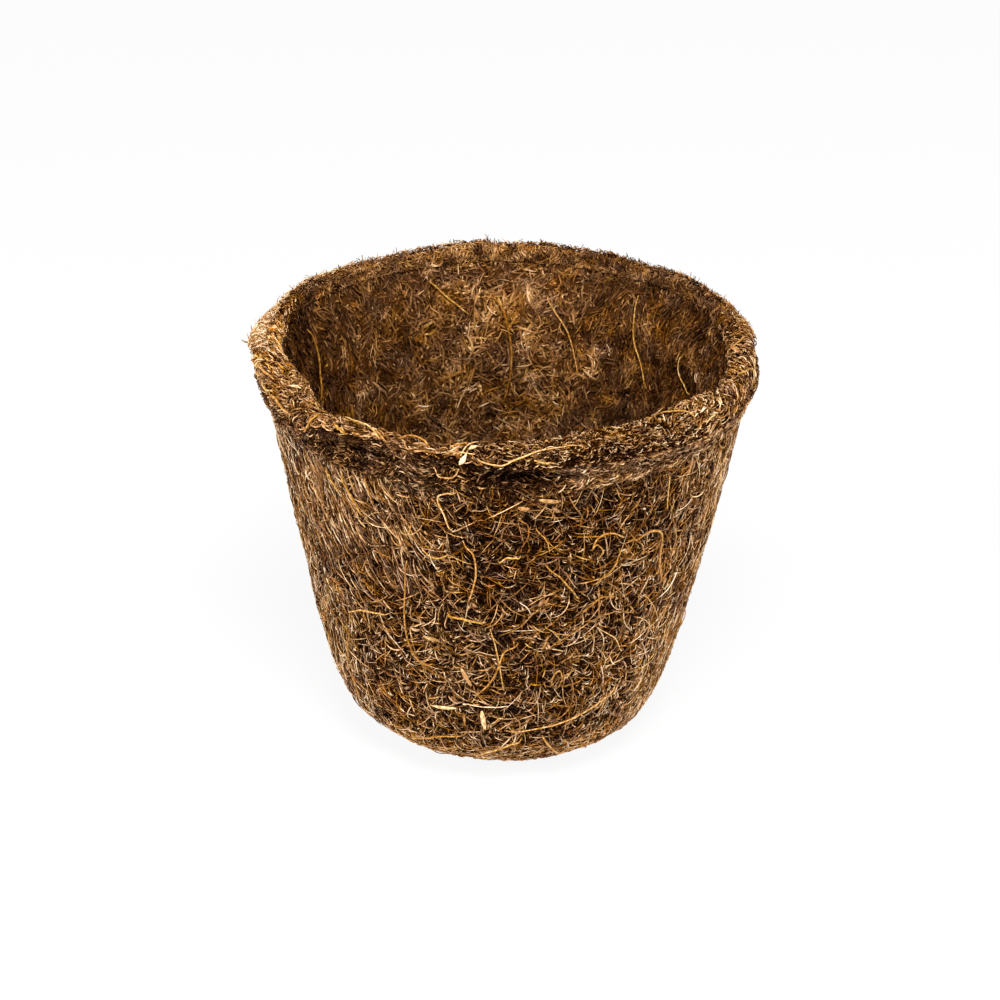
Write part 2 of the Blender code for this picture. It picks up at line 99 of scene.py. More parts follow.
LEAN = math.radians(WALL_LEAN_DEG)
CREASE_TOP = POT_HEIGHT - LIP_HEIGHT
CREASE_FOOT = CREASE_TOP - CREASE_HEIGHT
WALL_AT_FLOOR = RIM_RADIUS - LIP_OVERHANG - CREASE_TOP * math.tan(LEAN)
INNER_AT_FLOOR = WALL_AT_FLOOR - WALL_THICKNESS / math.cos(LEAN)


def wall_radius(height):
    return WALL_AT_FLOOR + height * math.tan(LEAN)


def inner_radius(height):
    return INNER_AT_FLOOR + height * math.tan(LEAN)


def section_parts():
    """The faces of the turned section in order, each an array of radius and height."""
    toe_end = TOE_TURN_DEG - 90.0
    turn = math.radians(toe_end)
    centre_height = TOE_RADIUS - (BASE_ROUND_RADIUS - TOE_RADIUS) * math.sin(turn)
    centre_radius = wall_radius(centre_height) - BASE_ROUND_RADIUS / math.cos(LEAN)
    toe_centre = (centre_radius + (BASE_ROUND_RADIUS - TOE_RADIUS) * math.cos(turn), TOE_RADIUS)
    outer = np.concatenate([
        arc(toe_centre, TOE_RADIUS, -90.0, toe_end, 12),
        arc((centre_radius, centre_height), BASE_ROUND_RADIUS, toe_end, -WALL_LEAN_DEG, 24)[1:],
        [(wall_radius(CREASE_FOOT), CREASE_FOOT)]])
    crease_radius = wall_radius(CREASE_TOP) - CREASE_DEPTH
    crease = np.array([(crease_radius, CREASE_FOOT + CREASE_HEIGHT / 2),
                       (crease_radius, CREASE_TOP)])
    lower = arc((RIM_RADIUS - LIP_LOWER_ROUND, CREASE_TOP + LIP_LOWER_ROUND), LIP_LOWER_ROUND,
                LIP_LOWER_START_DEG, 0.0, 4)
    front = arc((RIM_RADIUS - LIP_OUTER_ROUND, POT_HEIGHT - LIP_OUTER_ROUND), LIP_OUTER_ROUND,
                0.0, 90.0, 10)
    inner_height = POT_HEIGHT - LIP_INNER_ROUND
    inner_centre = (inner_radius(inner_height) + LIP_INNER_ROUND / math.cos(LEAN), inner_height)
    back = arc(inner_centre, LIP_INNER_ROUND, 90.0, 180.0 - WALL_LEAN_DEG, 10)
    lip = np.concatenate([lower, front, back])
    inner_base_radius = BASE_ROUND_RADIUS - WALL_THICKNESS
    inner_base_height = FLOOR_THICKNESS + inner_base_radius
    inner_base_centre = (inner_radius(inner_base_height) - inner_base_radius / math.cos(LEAN),
                         inner_base_height)
    inside = arc(inner_base_centre, inner_base_radius, -WALL_LEAN_DEG, -90.0, 24)
    return outer, crease, lip, inside


SECTION_STEP = 0.1
NORMAL_WINDOW = 9


def smoothed(values):
    margin = NORMAL_WINDOW // 2
    return np.convolve(np.pad(values, margin, mode="edge"), np.ones(NORMAL_WINDOW) / NORMAL_WINDOW,
                       mode="valid")


def measure_section():
    """The section as evenly spaced samples, with outward normals and where each face starts."""
    outer, crease, lip, inside = section_parts()
    points = np.concatenate([[(0.0, 0.0)], outer, crease, lip, inside, [(0.0, FLOOR_THICKNESS)]])
    lengths = np.concatenate([[0.0], np.cumsum(np.hypot(*np.diff(points, axis=0).T))])
    ends = np.cumsum([1, len(outer), len(crease), len(lip), len(inside)])
    marks = {"outer": (lengths[1], lengths[ends[1] - 1]),
             "crease": tuple(lengths[ends[1] - 1:ends[2] + 1]),
             "lip": (lengths[ends[2]], lengths[ends[3] - 1]),
             "inside": (lengths[ends[3] - 1], lengths[ends[4] - 1]),
             "end": lengths[-1]}
    along = np.arange(0.0, lengths[-1], SECTION_STEP)
    radius = np.interp(along, lengths, points[:, 0])
    height = np.interp(along, lengths, points[:, 1])
    run_r = smoothed(np.gradient(radius, along))
    run_h = smoothed(np.gradient(height, along))
    size = np.hypot(run_r, run_h)
    return along, radius, height, run_h / size, -run_r / size, marks


ALONG, SEC_R, SEC_H, SEC_NR, SEC_NH, MARKS = measure_section()
WALL_START, WALL_END = MARKS["outer"]
LIP_START, LIP_END = MARKS["lip"]
INSIDE_START, INSIDE_END = MARKS["inside"]
SECTION_END = MARKS["end"]


# Pressed form


def ease(value, low, high):
    """0 up to the low value and 1 from the high one, with a smooth rise between."""
    rise = np.clip((value - low) / (high - low), 0.0, 1.0)
    return rise * rise * (3.0 - 2.0 * rise)


def to_degrees(azimuth):
    return (np.degrees(azimuth) + 180.0) % 360.0 - 180.0


def around(azimuth, profile):
    """A profile's amount at each azimuth."""
    degrees = to_degrees(azimuth)
    amount = np.zeros_like(degrees)
    for (start, low), (end, high) in zip(profile, profile[1:]):
        inside = (degrees >= start) & (degrees < end)
        amount = np.where(inside, low + (high - low) * ease(degrees, start, end), amount)
    return amount


def ripple(azimuth, phase):
    return sum(np.sin(count * azimuth + shift * phase)
               for count, shift in RIPPLE_WAVES) / len(RIPPLE_WAVES)


def in_crease(along):
    """1 in the crease under the lip and 0 on the faces beside it."""
    return np.interp(along, MARKS["crease"], (0.0, 1.0, 1.0, 0.0))


def hollow_depth(azimuth):
    degrees = to_degrees(azimuth)
    deepest = np.zeros_like(degrees)
    for centre_deg, half_width_deg, depth in HOLLOWS:
        across = (degrees - centre_deg) / half_width_deg
        deepest = np.maximum(deepest, depth * np.exp(-across * across))
    return deepest


def pressed(azimuth, radius, height):
    """Radius and height of a point of the turned shape once it is pressed by hand."""
    outward = ease(radius, inner_radius(height) + FACE_MARGIN, wall_radius(height) - FACE_MARGIN)
    at_lip = ease(height, CREASE_FOOT, POT_HEIGHT)
    oval = (1 - np.cos(2 * (azimuth - math.radians(OVAL_AZIMUTH_DEG)))) / 2
    inwards = OVALNESS * 2 * oval * height / POT_HEIGHT
    inwards = inwards + LIP_RIPPLE * at_lip * (1 + ripple(azimuth, RIPPLE_PHASE)) / 2
    inwards = inwards + (around(azimuth, LIP_FOLD) * (1 - outward)
                         * ease(height, POT_HEIGHT - LIP_FOLD_REACH, POT_HEIGHT - LIP_INNER_ROUND))
    inwards = inwards - (WALL_THICKNESS * around(azimuth, RIM_THINNING) * (1 - outward)
                         * ease(height, POT_HEIGHT - RIM_THINNING_REACH,
                                POT_HEIGHT - LIP_INNER_ROUND))
    inwards = inwards + (around(azimuth, WALL_PINCH) * outward
                         * ease(height, CREASE_TOP - WALL_PINCH_REACH, CREASE_FOOT)
                         * (1 - ease(height, CREASE_TOP, POT_HEIGHT - LIP_OUTER_ROUND)))
    up_the_base = np.sqrt(np.clip(height / BASE_SLIMMING_HEIGHT, 0.0, 1.0))
    inwards = inwards + (around(azimuth, BASE_SLIMMING) * outward
                         * np.sin(math.pi * up_the_base) ** 2)
    inwards = inwards - around(azimuth, LIP_BULGE) * outward * at_lip
    lifted = np.where(height < CREASE_TOP, (height - CREASE_FOOT) / CREASE_HEIGHT,
                      (POT_HEIGHT - height) / LIP_HEIGHT)
    rise = LIP_HEIGHT * around(azimuth, LOWER_EDGE_RISE) * outward * np.maximum(lifted, 0.0)
    dip = LIP_DIP * at_lip * (1 + ripple(azimuth, DIP_PHASE)) / 2
    return radius - inwards * np.clip(radius, 0.0, 1.0), height + rise - dip


def place(azimuth, along, stand):
    """Points in millimetres that stand off the pressed felt, and the felt's normals there."""
    along = np.clip(along, 0.0, ALONG[-1])
    n_r = np.interp(along, ALONG, SEC_NR)
    n_h = np.interp(along, ALONG, SEC_NH)
    radius = np.interp(along, ALONG, SEC_R) + n_r * stand
    height = np.interp(along, ALONG, SEC_H) + n_h * stand
    radius, height = pressed(azimuth, radius, height)
    radius = radius - in_crease(along) * hollow_depth(azimuth)
    points = np.stack([radius * np.sin(azimuth), -radius * np.cos(azimuth), height], -1)
    normals = np.stack([n_r * np.sin(azimuth), -n_r * np.cos(azimuth), n_h], -1)
    return points, normals


STRETCH_REACH = 0.15
LEAST_STRETCH, MOST_STRETCH = 0.25, 4.0


def stretch(azimuth, along):
    """How much longer the pressed felt is than the turned section there, up the section."""
    below, _ = place(azimuth, along - STRETCH_REACH, 0.0)
    above, _ = place(azimuth, along + STRETCH_REACH, 0.0)
    run = np.linalg.norm(above - below, axis=-1) / (2 * STRETCH_REACH)
    return np.clip(run, LEAST_STRETCH, MOST_STRETCH)


def lumps(azimuth, along, seed, wavelength, count=12):
    """A soft random field over the felt, about -1 to 1, that closes round the cup."""
    rng = np.random.default_rng(seed)
    radius = np.interp(along, ALONG, SEC_R)
    x = radius * np.sin(azimuth)
    y = radius * np.cos(azimuth)
    total = np.zeros_like(azimuth + along)
    for _ in range(count):
        wave = rng.normal(size=3)
        wave *= math.tau / wavelength / np.linalg.norm(wave) * rng.uniform(0.7, 1.4)
        phase = rng.uniform(0, math.tau)
        total += np.sin(wave[0] * x + wave[1] * y + wave[2] * along + phase)
    return total / math.sqrt(count)


LUMP_SEED = 5
LUMP_DEPTH = 0.12
LUMP_WAVELENGTH = 9.0


def felt_rise(azimuth, along):
    """How far the pressed felt swells out of or sinks into its turned form."""
    return LUMP_DEPTH * lumps(azimuth, along, LUMP_SEED, LUMP_WAVELENGTH)


# Meshes


def write_mesh(name, verts, loops, sizes, uvs=None, colours=None):
    """A mesh object from flat arrays of corners and face sizes."""
    mesh = bpy.data.meshes.new(name)
    mesh.vertices.add(len(verts))
    mesh.vertices.foreach_set("co", (verts * MM).astype(np.float32).ravel())
    mesh.loops.add(len(loops))
    mesh.loops.foreach_set("vertex_index", loops.astype(np.int32))
    mesh.polygons.add(len(sizes))
    starts = np.concatenate([[0], np.cumsum(sizes)[:-1]])
    mesh.polygons.foreach_set("loop_start", starts.astype(np.int32))
    mesh.update(calc_edges=True)
    mesh.validate()
    mesh.polygons.foreach_set("use_smooth", np.ones(len(sizes), dtype=bool))
    if uvs is not None:
        layer = mesh.uv_layers.new(name="OFBake")
        layer.data.foreach_set("uv", uvs.astype(np.float32).ravel())
    if colours is not None:
        attribute = mesh.color_attributes.new("tone", "FLOAT_COLOR", "POINT")
        attribute.data.foreach_set("color", colours.astype(np.float32).ravel())
    piece = bpy.data.objects.new(name, mesh)
    bpy.context.collection.objects.link(piece)
    return piece


UV_MARGIN = 0.08
UV_CAP_RADIUS = 0.1
LEAST_TONE, MOST_TONE = 0.02, 0.98


def unit(vectors):
    return vectors / (np.linalg.norm(vectors, axis=2, keepdims=True) + 1e-9)


def tube_arrays(paths, normals, radii, sides, flatness, tones, chances, warmth, edge):
    """Corners and faces of closed tubes: paths is fibres x points x 3, tones fibres x points.

    Each fibre has a square cell of the UV map to itself. Its colour attribute holds its tone, its
    chance, which is a random number, and how warm it is. The tone is darker, by the side shade
    given, on the side that lies on the felt: painted shade.
    """
    count, points = paths.shape[:2]
    tangent = unit(np.gradient(paths, axis=1))
    side = unit(np.cross(tangent, normals))
    rise = np.cross(side, tangent)
    angles = np.arange(sides) * math.tau / sides + math.pi / 2
    wide = np.cos(angles)[None, None, :, None] * side[:, :, None, :]
    tall = np.sin(angles)[None, None, :, None] * rise[:, :, None, :] * flatness[:, None, None, None]
    verts = paths[:, :, None, :] + (wide + tall) * radii[:, :, None, None]
    base = (np.arange(count) * points * sides)[:, None, None]
    ring = (np.arange(points - 1) * sides)[None, :, None]
    spoke = np.arange(sides)[None, None, :]
    a = base + ring + spoke
    b = base + ring + (spoke + 1) % sides
    quads = np.stack([a, b, b + sides, a + sides], -1)
    first = a[:, 0, ::-1]
    last = a[:, -1] + sides
    loops = np.concatenate([quads.ravel(), first.ravel(), last.ravel()])
    sizes = np.concatenate([np.full(a.size, 4), np.full(2 * count, sides)])
    columns = math.ceil(math.sqrt(count))
    cell = 1.0 / columns
    corner = np.stack([np.arange(count) % columns, np.arange(count) // columns], -1) * cell
    u = np.stack([spoke, spoke + 1, spoke + 1, spoke], -1) / sides
    v = np.stack([ring, ring, ring + sides, ring + sides], -1) / sides / (points - 1)
    cap = 0.5 + UV_CAP_RADIUS * np.stack([np.cos(angles), np.sin(angles)], -1)
    fill = 1.0 - 2 * UV_MARGIN
    uv = UV_MARGIN + fill * np.stack(np.broadcast_arrays(u, v), -1)
    uv = uv * cell + corner[:, None, None, None, :]
    cap = (UV_MARGIN + fill * cap)[None] * cell + corner[:, None, :]
    uvs = np.concatenate([uv.reshape(-1, 2), cap[:, ::-1].reshape(-1, 2), cap.reshape(-1, 2)])
    colour = np.ones((count, points, sides, 4))
    # Painted shade: the side of each fibre that lies on the felt is darker
    colour[..., 0] = tones[:, :, None] - edge * (1 - np.sin(angles)) / 2
    colour[..., 0] = np.clip(colour[..., 0], LEAST_TONE, MOST_TONE)
    colour[..., 1] = chances[:, None, None]
    colour[..., 2] = warmth[:, None, None]
    return verts.reshape(-1, 3), loops, sizes, uvs, colour.reshape(-1, 4)


def finish_piece(name, arrays, material, node=None):
    piece = write_mesh(name, *arrays)
    piece.data.materials.append(material)
    if node:
        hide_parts(node)
    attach(piece, "root")


# Fibre coats

GROUND_CLEARANCE = 0.12
CANDIDATES = 8
SPAN_FADE_DEG = 16.0
LEAST_FIBRE_RADIUS = 0.03
LEAST_WALK_RADIUS = 2.0
GROUP_PITCH = 0.34
GROUP_JITTER = 0.12
TURN_JITTER = 0.15
DIVE_POWER = 2.5
DIVE_RANGE = (0.3, 1.0)
WIDTH_SKEW = 1.8
TAPER_POWER = 0.4
TIP_SHARE = 0.03
UNEVENNESS = 0.1
END_SHADE = 0.15
CLUMP_SHARE = 0.10
CLUMP_SEED, DRIFT_SEED, MOTTLE_SEED, WARM_SEED = 31, 32, 33, 35
CLUMP_WAVELENGTH = 2.6
WARM_WAVELENGTH = 4.2
WARM_SWING = 0.26
WARM_JITTER = 0.5
WARM_TONE = 0.02
SPREAD_SHUFFLE = 7.0
DRIFT_TONE = 0.03
DRIFT_WAVELENGTH = 14.0
ALL_ROUND = (-180.0, 180.0)


def choose_places(rng, count, zone, span):
    """Random places that are even over the pressed felt, as azimuths and distances along.

    Where a coat doesn't go all round, it thins out towards both ends of its span.
    """
    along = rng.uniform(*zone, count * CANDIDATES)
    degrees = rng.uniform(*span, count * CANDIDATES)
    azimuth = np.radians(degrees)
    area = np.interp(along, ALONG, SEC_R) * stretch(azimuth, along)
    if span != ALL_ROUND:
        area *= ease(np.minimum(degrees - span[0], span[1] - degrees), 0.0, SPAN_FADE_DEG)
    keep = rng.uniform(0, area.max(), len(along)) < area
    return azimuth[keep][:count], along[keep][:count]


def spread_groups(rng, azimuth, along, heading, group):
    """Each place becomes a few that lie side by side, nearly parallel."""
    rank = np.tile(np.arange(group) - (group - 1) / 2, len(azimuth)) * GROUP_PITCH
    rank = rank + rng.normal(size=len(rank)) * GROUP_JITTER
    azimuth, along, heading = (np.repeat(values, group) for values in (azimuth, along, heading))
    heading = heading + rng.normal(size=len(rank)) * TURN_JITTER
    radius = np.maximum(np.interp(along, ALONG, SEC_R), LEAST_WALK_RADIUS)
    return azimuth + np.cos(heading) * rank / radius, along - np.sin(heading) * rank, heading


def fold_back(along, zone):
    """Distances that run out of a zone turn back at its edge."""
    low, high = zone
    along = np.where(along < low, 2 * low - along, along)
    along = np.where(along > high, 2 * high - along, along)
    return np.clip(along, low, high)


def centred(path):
    """Summed steps with their start put before them, moved so that the middle is at 0."""
    path = np.pad(path, ((0, 0), (1, 0)))
    return path - path[:, (path.shape[1] - 1) // 2, None]


def walk(rng, azimuth, along, heading, length, curl, wobble, steps, zone):
    """Curved walks over the felt, centred on their starts, as azimuths and distances along."""
    step = (length / steps)[:, None]
    curl = curl[:, None]
    jitter = rng.normal(size=(len(azimuth), steps - 1)) * wobble * np.sqrt(step)
    turns = np.concatenate([heading[:, None] - curl * length[:, None] / 2, curl * step + jitter], 1)
    turn = np.cumsum(turns, axis=1)
    up = np.cumsum(np.cos(turn) * step, axis=1) / stretch(azimuth, along)[:, None]
    side = np.cumsum(np.sin(turn) * step, axis=1)
    alongs = fold_back(along[:, None] + centred(up), zone)
    radius = np.maximum(np.interp(alongs, ALONG, SEC_R), LEAST_WALK_RADIUS)
    return azimuth[:, None] + centred(side) / radius, alongs


def lay_fibres(name, material, seed, count, zone, length, width, stand, tone, heading,
               span=ALL_ROUND, curl=0.1, wobble=0.1, steps=4, sides=3, arch=0.05, dive=0.3,
               flat=(0.6, 1.0), flick=0.0, group=1, shift=None, grain=0.1, mottle=0.0,
               depth_tone=0.35, edge=0.3):
    """One coat of fibres over a stretch of the section, as one mesh object.

    The tone is (dark, light, share of light fibres). A fibre that stands higher is lighter, by up to
    the depth shade given, as painted shade for how deep it lies in the mat; `grain` is how much
    fibres of a kind differ and `mottle` how much patches do. The side of each fibre on the felt and
    both its ends are darker, as painted shade. The ends dive into the felt, and a flick lifts one of
    them off it.
    """
    rng = np.random.default_rng(seed)
    azimuth, along = choose_places(rng, count, zone, span)
    angle = heading(rng, azimuth, along)
    if group > 1:
        azimuth, along, angle = spread_groups(rng, azimuth, along, angle, group)
    count = len(azimuth)
    size = rng.uniform(*length, count)
    bend = rng.normal(size=count) * curl
    az, al = walk(rng, azimuth, along, angle, size, bend, wobble, steps, zone)
    t = np.linspace(0, 1, steps + 1)[None, :]
    to_end = np.abs(2 * t - 1)
    depth = rng.uniform(0, 1, count)
    base = (stand[0] + (stand[1] - stand[0]) * depth)[:, None]
    hump = arch * np.abs(rng.normal(size=count))[:, None] * np.sin(math.pi * t)
    ends = dive * to_end ** DIVE_POWER * rng.uniform(*DIVE_RANGE, count)[:, None]
    loose = flick * np.maximum(rng.normal(size=count), 0)[:, None] * t ** 3
    paths, normals = place(az, al, base + hump - ends + loose + felt_rise(az, al))
    paths[..., 2] = np.maximum(paths[..., 2], GROUND_CLEARANCE)
    thick = width[0] + (width[1] - width[0]) * rng.uniform(0, 1, count) ** WIDTH_SKEW
    taper = 0.5 + 0.5 * np.sin(math.pi * np.clip(t, TIP_SHARE, 1 - TIP_SHARE)) ** TAPER_POWER
    radii = thick[:, None] / 2 * taper * (1 + UNEVENNESS * rng.normal(size=(count, steps + 1)))
    radii = np.maximum(radii, LEAST_FIBRE_RADIUS)
    dark, light, share = tone
    clump = lumps(azimuth, along, CLUMP_SEED, CLUMP_WAVELENGTH)
    is_light = rng.uniform(0, 1, count) < share + CLUMP_SHARE * clump
    tones = np.where(is_light, light, dark) + rng.normal(size=count) * grain
    # Painted shade: the deeper a fibre lies in the mat, the darker it is
    tones += depth_tone * (depth - 0.5)
    tones += mottle * lumps(azimuth, along, MOTTLE_SEED, CLUMP_WAVELENGTH)
    tones += DRIFT_TONE * lumps(azimuth, along, DRIFT_SEED, DRIFT_WAVELENGTH)
    warm = lumps(azimuth, along, WARM_SEED, WARM_WAVELENGTH)
    tones += WARM_TONE * warm
    if shift is not None:
        tones += shift(azimuth, along)
    # Painted shade at both ends, where they dive into the felt
    tones = tones[:, None] - END_SHADE * to_end ** 3
    flatness = rng.uniform(*flat, count)
    chances = rng.uniform(0, 1, count)
    warmth = 0.5 + WARM_SWING * warm + WARM_JITTER * (chances * SPREAD_SHUFFLE % 1 - 0.5)
    arrays = tube_arrays(paths, normals, radii, sides, flatness, tones, chances,
                         np.clip(warmth, 0, 1), edge)
    finish_piece(name, arrays, material)


def lay_coat(name, material, first_seed, pieces, *where, **looks):
    """A coat that is too large for one mesh, as a few pieces of the same kind."""
    for index in range(pieces):
        lay_fibres(f"{name}_{index}", material, first_seed + index, *where, **looks)


# Profiles of headings, as points of (azimuth in degrees, amount) joined by straight runs
WALL_LEAN = ((-180, 0.0), (-75, -0.1), (-40, -0.3), (-15, -0.2), (0, 0.0), (20, 0.3), (45, 0.4),
             (75, 0.2), (180, 0.0))
WALL_CLUMP = ((0, 1.5), (25, 1.3), (50, 0.6), (70, 0.25), (100, 0.5), (180, 1.3))
WALL_SPREAD = ((0, 0.8), (40, 0.6), (75, 0.25), (120, 0.4), (180, 0.8))
LIP_LEAN = ((-180, 0.9), (-110, 1.0), (-85, 1.25), (-50, 1.4), (-10, 1.55), (20, 1.35), (50, 1.2),
            (65, 0.7), (90, 0.3), (115, 0.6), (180, 0.9))
LIP_CLUMP = ((20, 0.45), (60, 0.2475), (110, 0.2475), (140, 0.45))
LIP_SPREAD = ((20, 0.35), (60, 0.1925), (110, 0.1925), (140, 0.35))
INNER_CLUMP = ((90, 0.4), (130, 0.6), (160, 1.1), (180, 1.2))
INNER_SPREAD = ((90, 0.24), (130, 0.36), (160, 0.66), (180, 0.72))


def amount_at(degrees, amount):
    """A number as it is, or what a profile has at each azimuth."""
    return np.interp(degrees, *zip(*amount)) if isinstance(amount, tuple) else amount


def way(lean, clump, spread, seed=41, wavelength=5.0, mirrored=False):
    """A heading: its lean from upright, how far clumps turn and how far single fibres do."""

    def heading(rng, azimuth, along):
        degrees = to_degrees(azimuth)
        turned = np.abs(degrees) if mirrored else degrees
        return (amount_at(degrees, lean)
                + amount_at(turned, clump) * lumps(azimuth, along, seed, wavelength)
                + amount_at(turned, spread) * rng.normal(size=len(azimuth)))

    return heading


def any_way(rng, azimuth, along):
    return rng.uniform(0, math.tau, len(azimuth))


# Upright at the sides of the view, and in tangled clumps at its front and back
wall_way = way(WALL_LEAN, WALL_CLUMP, WALL_SPREAD, mirrored=True)
# Straight up the wall
streak_way = way(0.0, 0.0, 0.14)
# Down the wall and to the right, in loose sheaves
slant_way = way(-0.36, 0.15, 0.14, seed=45)
# Round the base, in clumps
base_way = way(math.pi / 2, 0.6, 0.55, seed=42, wavelength=6.0)
# Round the lip at the left and front, and across it at the right
lip_way = way(LIP_LEAN, LIP_CLUMP, LIP_SPREAD, seed=43, wavelength=3.5)
# Up the inside and over the edge of the rim
back_rim_way = way(0.0, 0.9, 0.6, seed=46, wavelength=3.0)
# Every way, but rather up and down
inner_mat_way = way(0.0, 0.0, 0.9)
# Mostly up and down at the sides, and tangled at the back
inner_way = way(0.0, INNER_CLUMP, INNER_SPREAD, seed=44, mirrored=True)

# Tones that the coats gain or lose round the cup
# Painted shade under the overhang of the lip
UNDER_LIP_PAINTED_SHADE = ((-75, 0.0), (-52, 0.04), (20, 0.08), (60, 0.0))
# Painted shade on the flap of the lip at the front, which spares its lit crest
FLAP_PAINTED_SHADE = ((-56, 0.0), (-46, 0.14), (-14, 0.14), (-4, 0.0))
FLAP_CREST = (0.14, 0.34, 0.66, 0.84)
LIP_LIGHT = ((-180, 0.0), (-128, 0.03), (-110, 0.16), (-96, 0.0), (-60, -0.06), (-30, 0.0),
             (0, -0.02), (55, 0.07), (80, -0.05), (110, -0.04), (130, 0.0), (180, 0.0))
# Painted shade on the back of the rim inside its edge
BACK_RIM_PAINTED_SHADE = ((-180, 0.25), (-122, 0.25), (-98, 0.10), (-60, 0.0), (70, 0.0), (98, 0.08),
                 (122, 0.22), (180, 0.25))
BACK_RIM_CREST = (0.38, 0.58)
# Painted light at the back of the inside and painted shade at its left
INNER_PAINTED_LIGHT_AND_SHADE = ((-180, 0.13), (-150, 0.07), (-115, -0.11), (-90, -0.13), (90, -0.12),
               (130, -0.05), (180, 0.13))
FRONT_WIDTH_DEG = 40.0
# Painted shade at the front of the wall and painted light at the top of its left; the base is lighter
FRONT_PAINTED_SHADE, LEFT_PAINTED_LIGHT, BASE_LIGHT = 0.09, 0.07, 0.06
UP_THE_WALL = (WALL_START + 12.0, WALL_END - 4.0)
UNDER_THE_LIP = (WALL_END - 3.5, WALL_END)
TOP_OF_WALL = (WALL_END - 14.0, WALL_END - 6.0)
LEFT_SIDE = (0.3, 0.9)
BLOTCH_SEED = 34
BLOTCH_TONE = 0.07
BLOTCH_WAVELENGTH = 6.0
# Painted shade in the hollows under the lip
HOLLOW_PAINTED_SHADE = 0.10
FRINGE_LIGHT = ((-180, 0.0), (-150, 0.10), (-116, 0.26), (-96, 0.26), (-80, 0.06), (84, 0.0),
                (130, -0.04), (180, 0.0))


def wall_shift(azimuth, along):
    """The base is golden. Painted shade darkens the front, most under the lip and in its hollows,
    and painted light lightens the top of the left.
    """
    degrees = to_degrees(azimuth)
    front = np.exp(-(degrees / FRONT_WIDTH_DEG) ** 2)
    up = ease(along, *UP_THE_WALL)
    under_lip = ease(along, *UNDER_THE_LIP)
    top = ease(along, *TOP_OF_WALL)
    left = ease(-np.sin(azimuth), *LEFT_SIDE)
    return (BASE_LIGHT * (1 - up) - FRONT_PAINTED_SHADE * front * up + LEFT_PAINTED_LIGHT * left * top
            - under_lip * (around(azimuth, UNDER_LIP_PAINTED_SHADE) + HOLLOW_PAINTED_SHADE * hollow_depth(azimuth)))


def crease_painted_shade(azimuth, along):
    """Painted shade in the crease: dark under the flap of the lip and darkest in the hollows."""
    return -around(azimuth, UNDER_LIP_PAINTED_SHADE) - HOLLOW_PAINTED_SHADE * hollow_depth(azimuth)


def lip_shift(azimuth, along):
    """Painted shade darkens the flap at the front, all but its golden crest, and the back of the rim
    inside its edge.
    """
    share = (along - LIP_START) / (LIP_END - LIP_START)
    low, low_crest, high_crest, high = FLAP_CREST
    crest = ease(share, low, low_crest) * (1 - ease(share, high_crest, high))
    return (around(azimuth, LIP_LIGHT) - around(azimuth, FLAP_PAINTED_SHADE) * (1 - crest)
            - around(azimuth, BACK_RIM_PAINTED_SHADE) * ease(share, *BACK_RIM_CREST))


def fringe_shift(azimuth, along):
    """The fringe is golden at the back left and brightest where it meets the left of the lip."""
    return around(azimuth, FRINGE_LIGHT)


def inner_shift(azimuth, along):
    """Painted light makes the back of the inside the most golden and painted shade makes the left
    dark; both are blotchy.
    """
    blotches = lumps(azimuth, along, BLOTCH_SEED, BLOTCH_WAVELENGTH)
    return around(azimuth, INNER_PAINTED_LIGHT_AND_SHADE) + BLOTCH_TONE * blotches


# Zones of the coats, as distances along the section
WALL_ZONE = (WALL_START + 7.0, WALL_END)
BASE_ZONE = (1.0, WALL_START + 13.0)
CREASE_ZONE = (WALL_END - 0.2, LIP_START + 0.1)
CREASE_FILL_ZONE = (WALL_END - 1.0, LIP_START + 0.7)
UPPER_WALL_ZONE = (WALL_END - 19.0, WALL_END - 0.5)
UNDER_LIP_ZONE = (WALL_END - 3.2, WALL_END + 0.2)
LIP_ZONE = (LIP_START, LIP_END + 1.0)
FLAP_ZONE = (LIP_START + 1.0, LIP_END - 1.5)
FRINGE_ZONE = (LIP_START + 3.0, LIP_START + 5.2)
INNER_RIM_ZONE = (LIP_START + 4.6, LIP_END + 1.5)
RIM_TOP_ZONE = (LIP_START + 2.4, LIP_END + 0.4)
INNER_ZONE = (LIP_END + 0.2, INSIDE_END - 5.0)
FLOOR_ZONE = (INSIDE_END - 7.0, SECTION_END - 0.6)


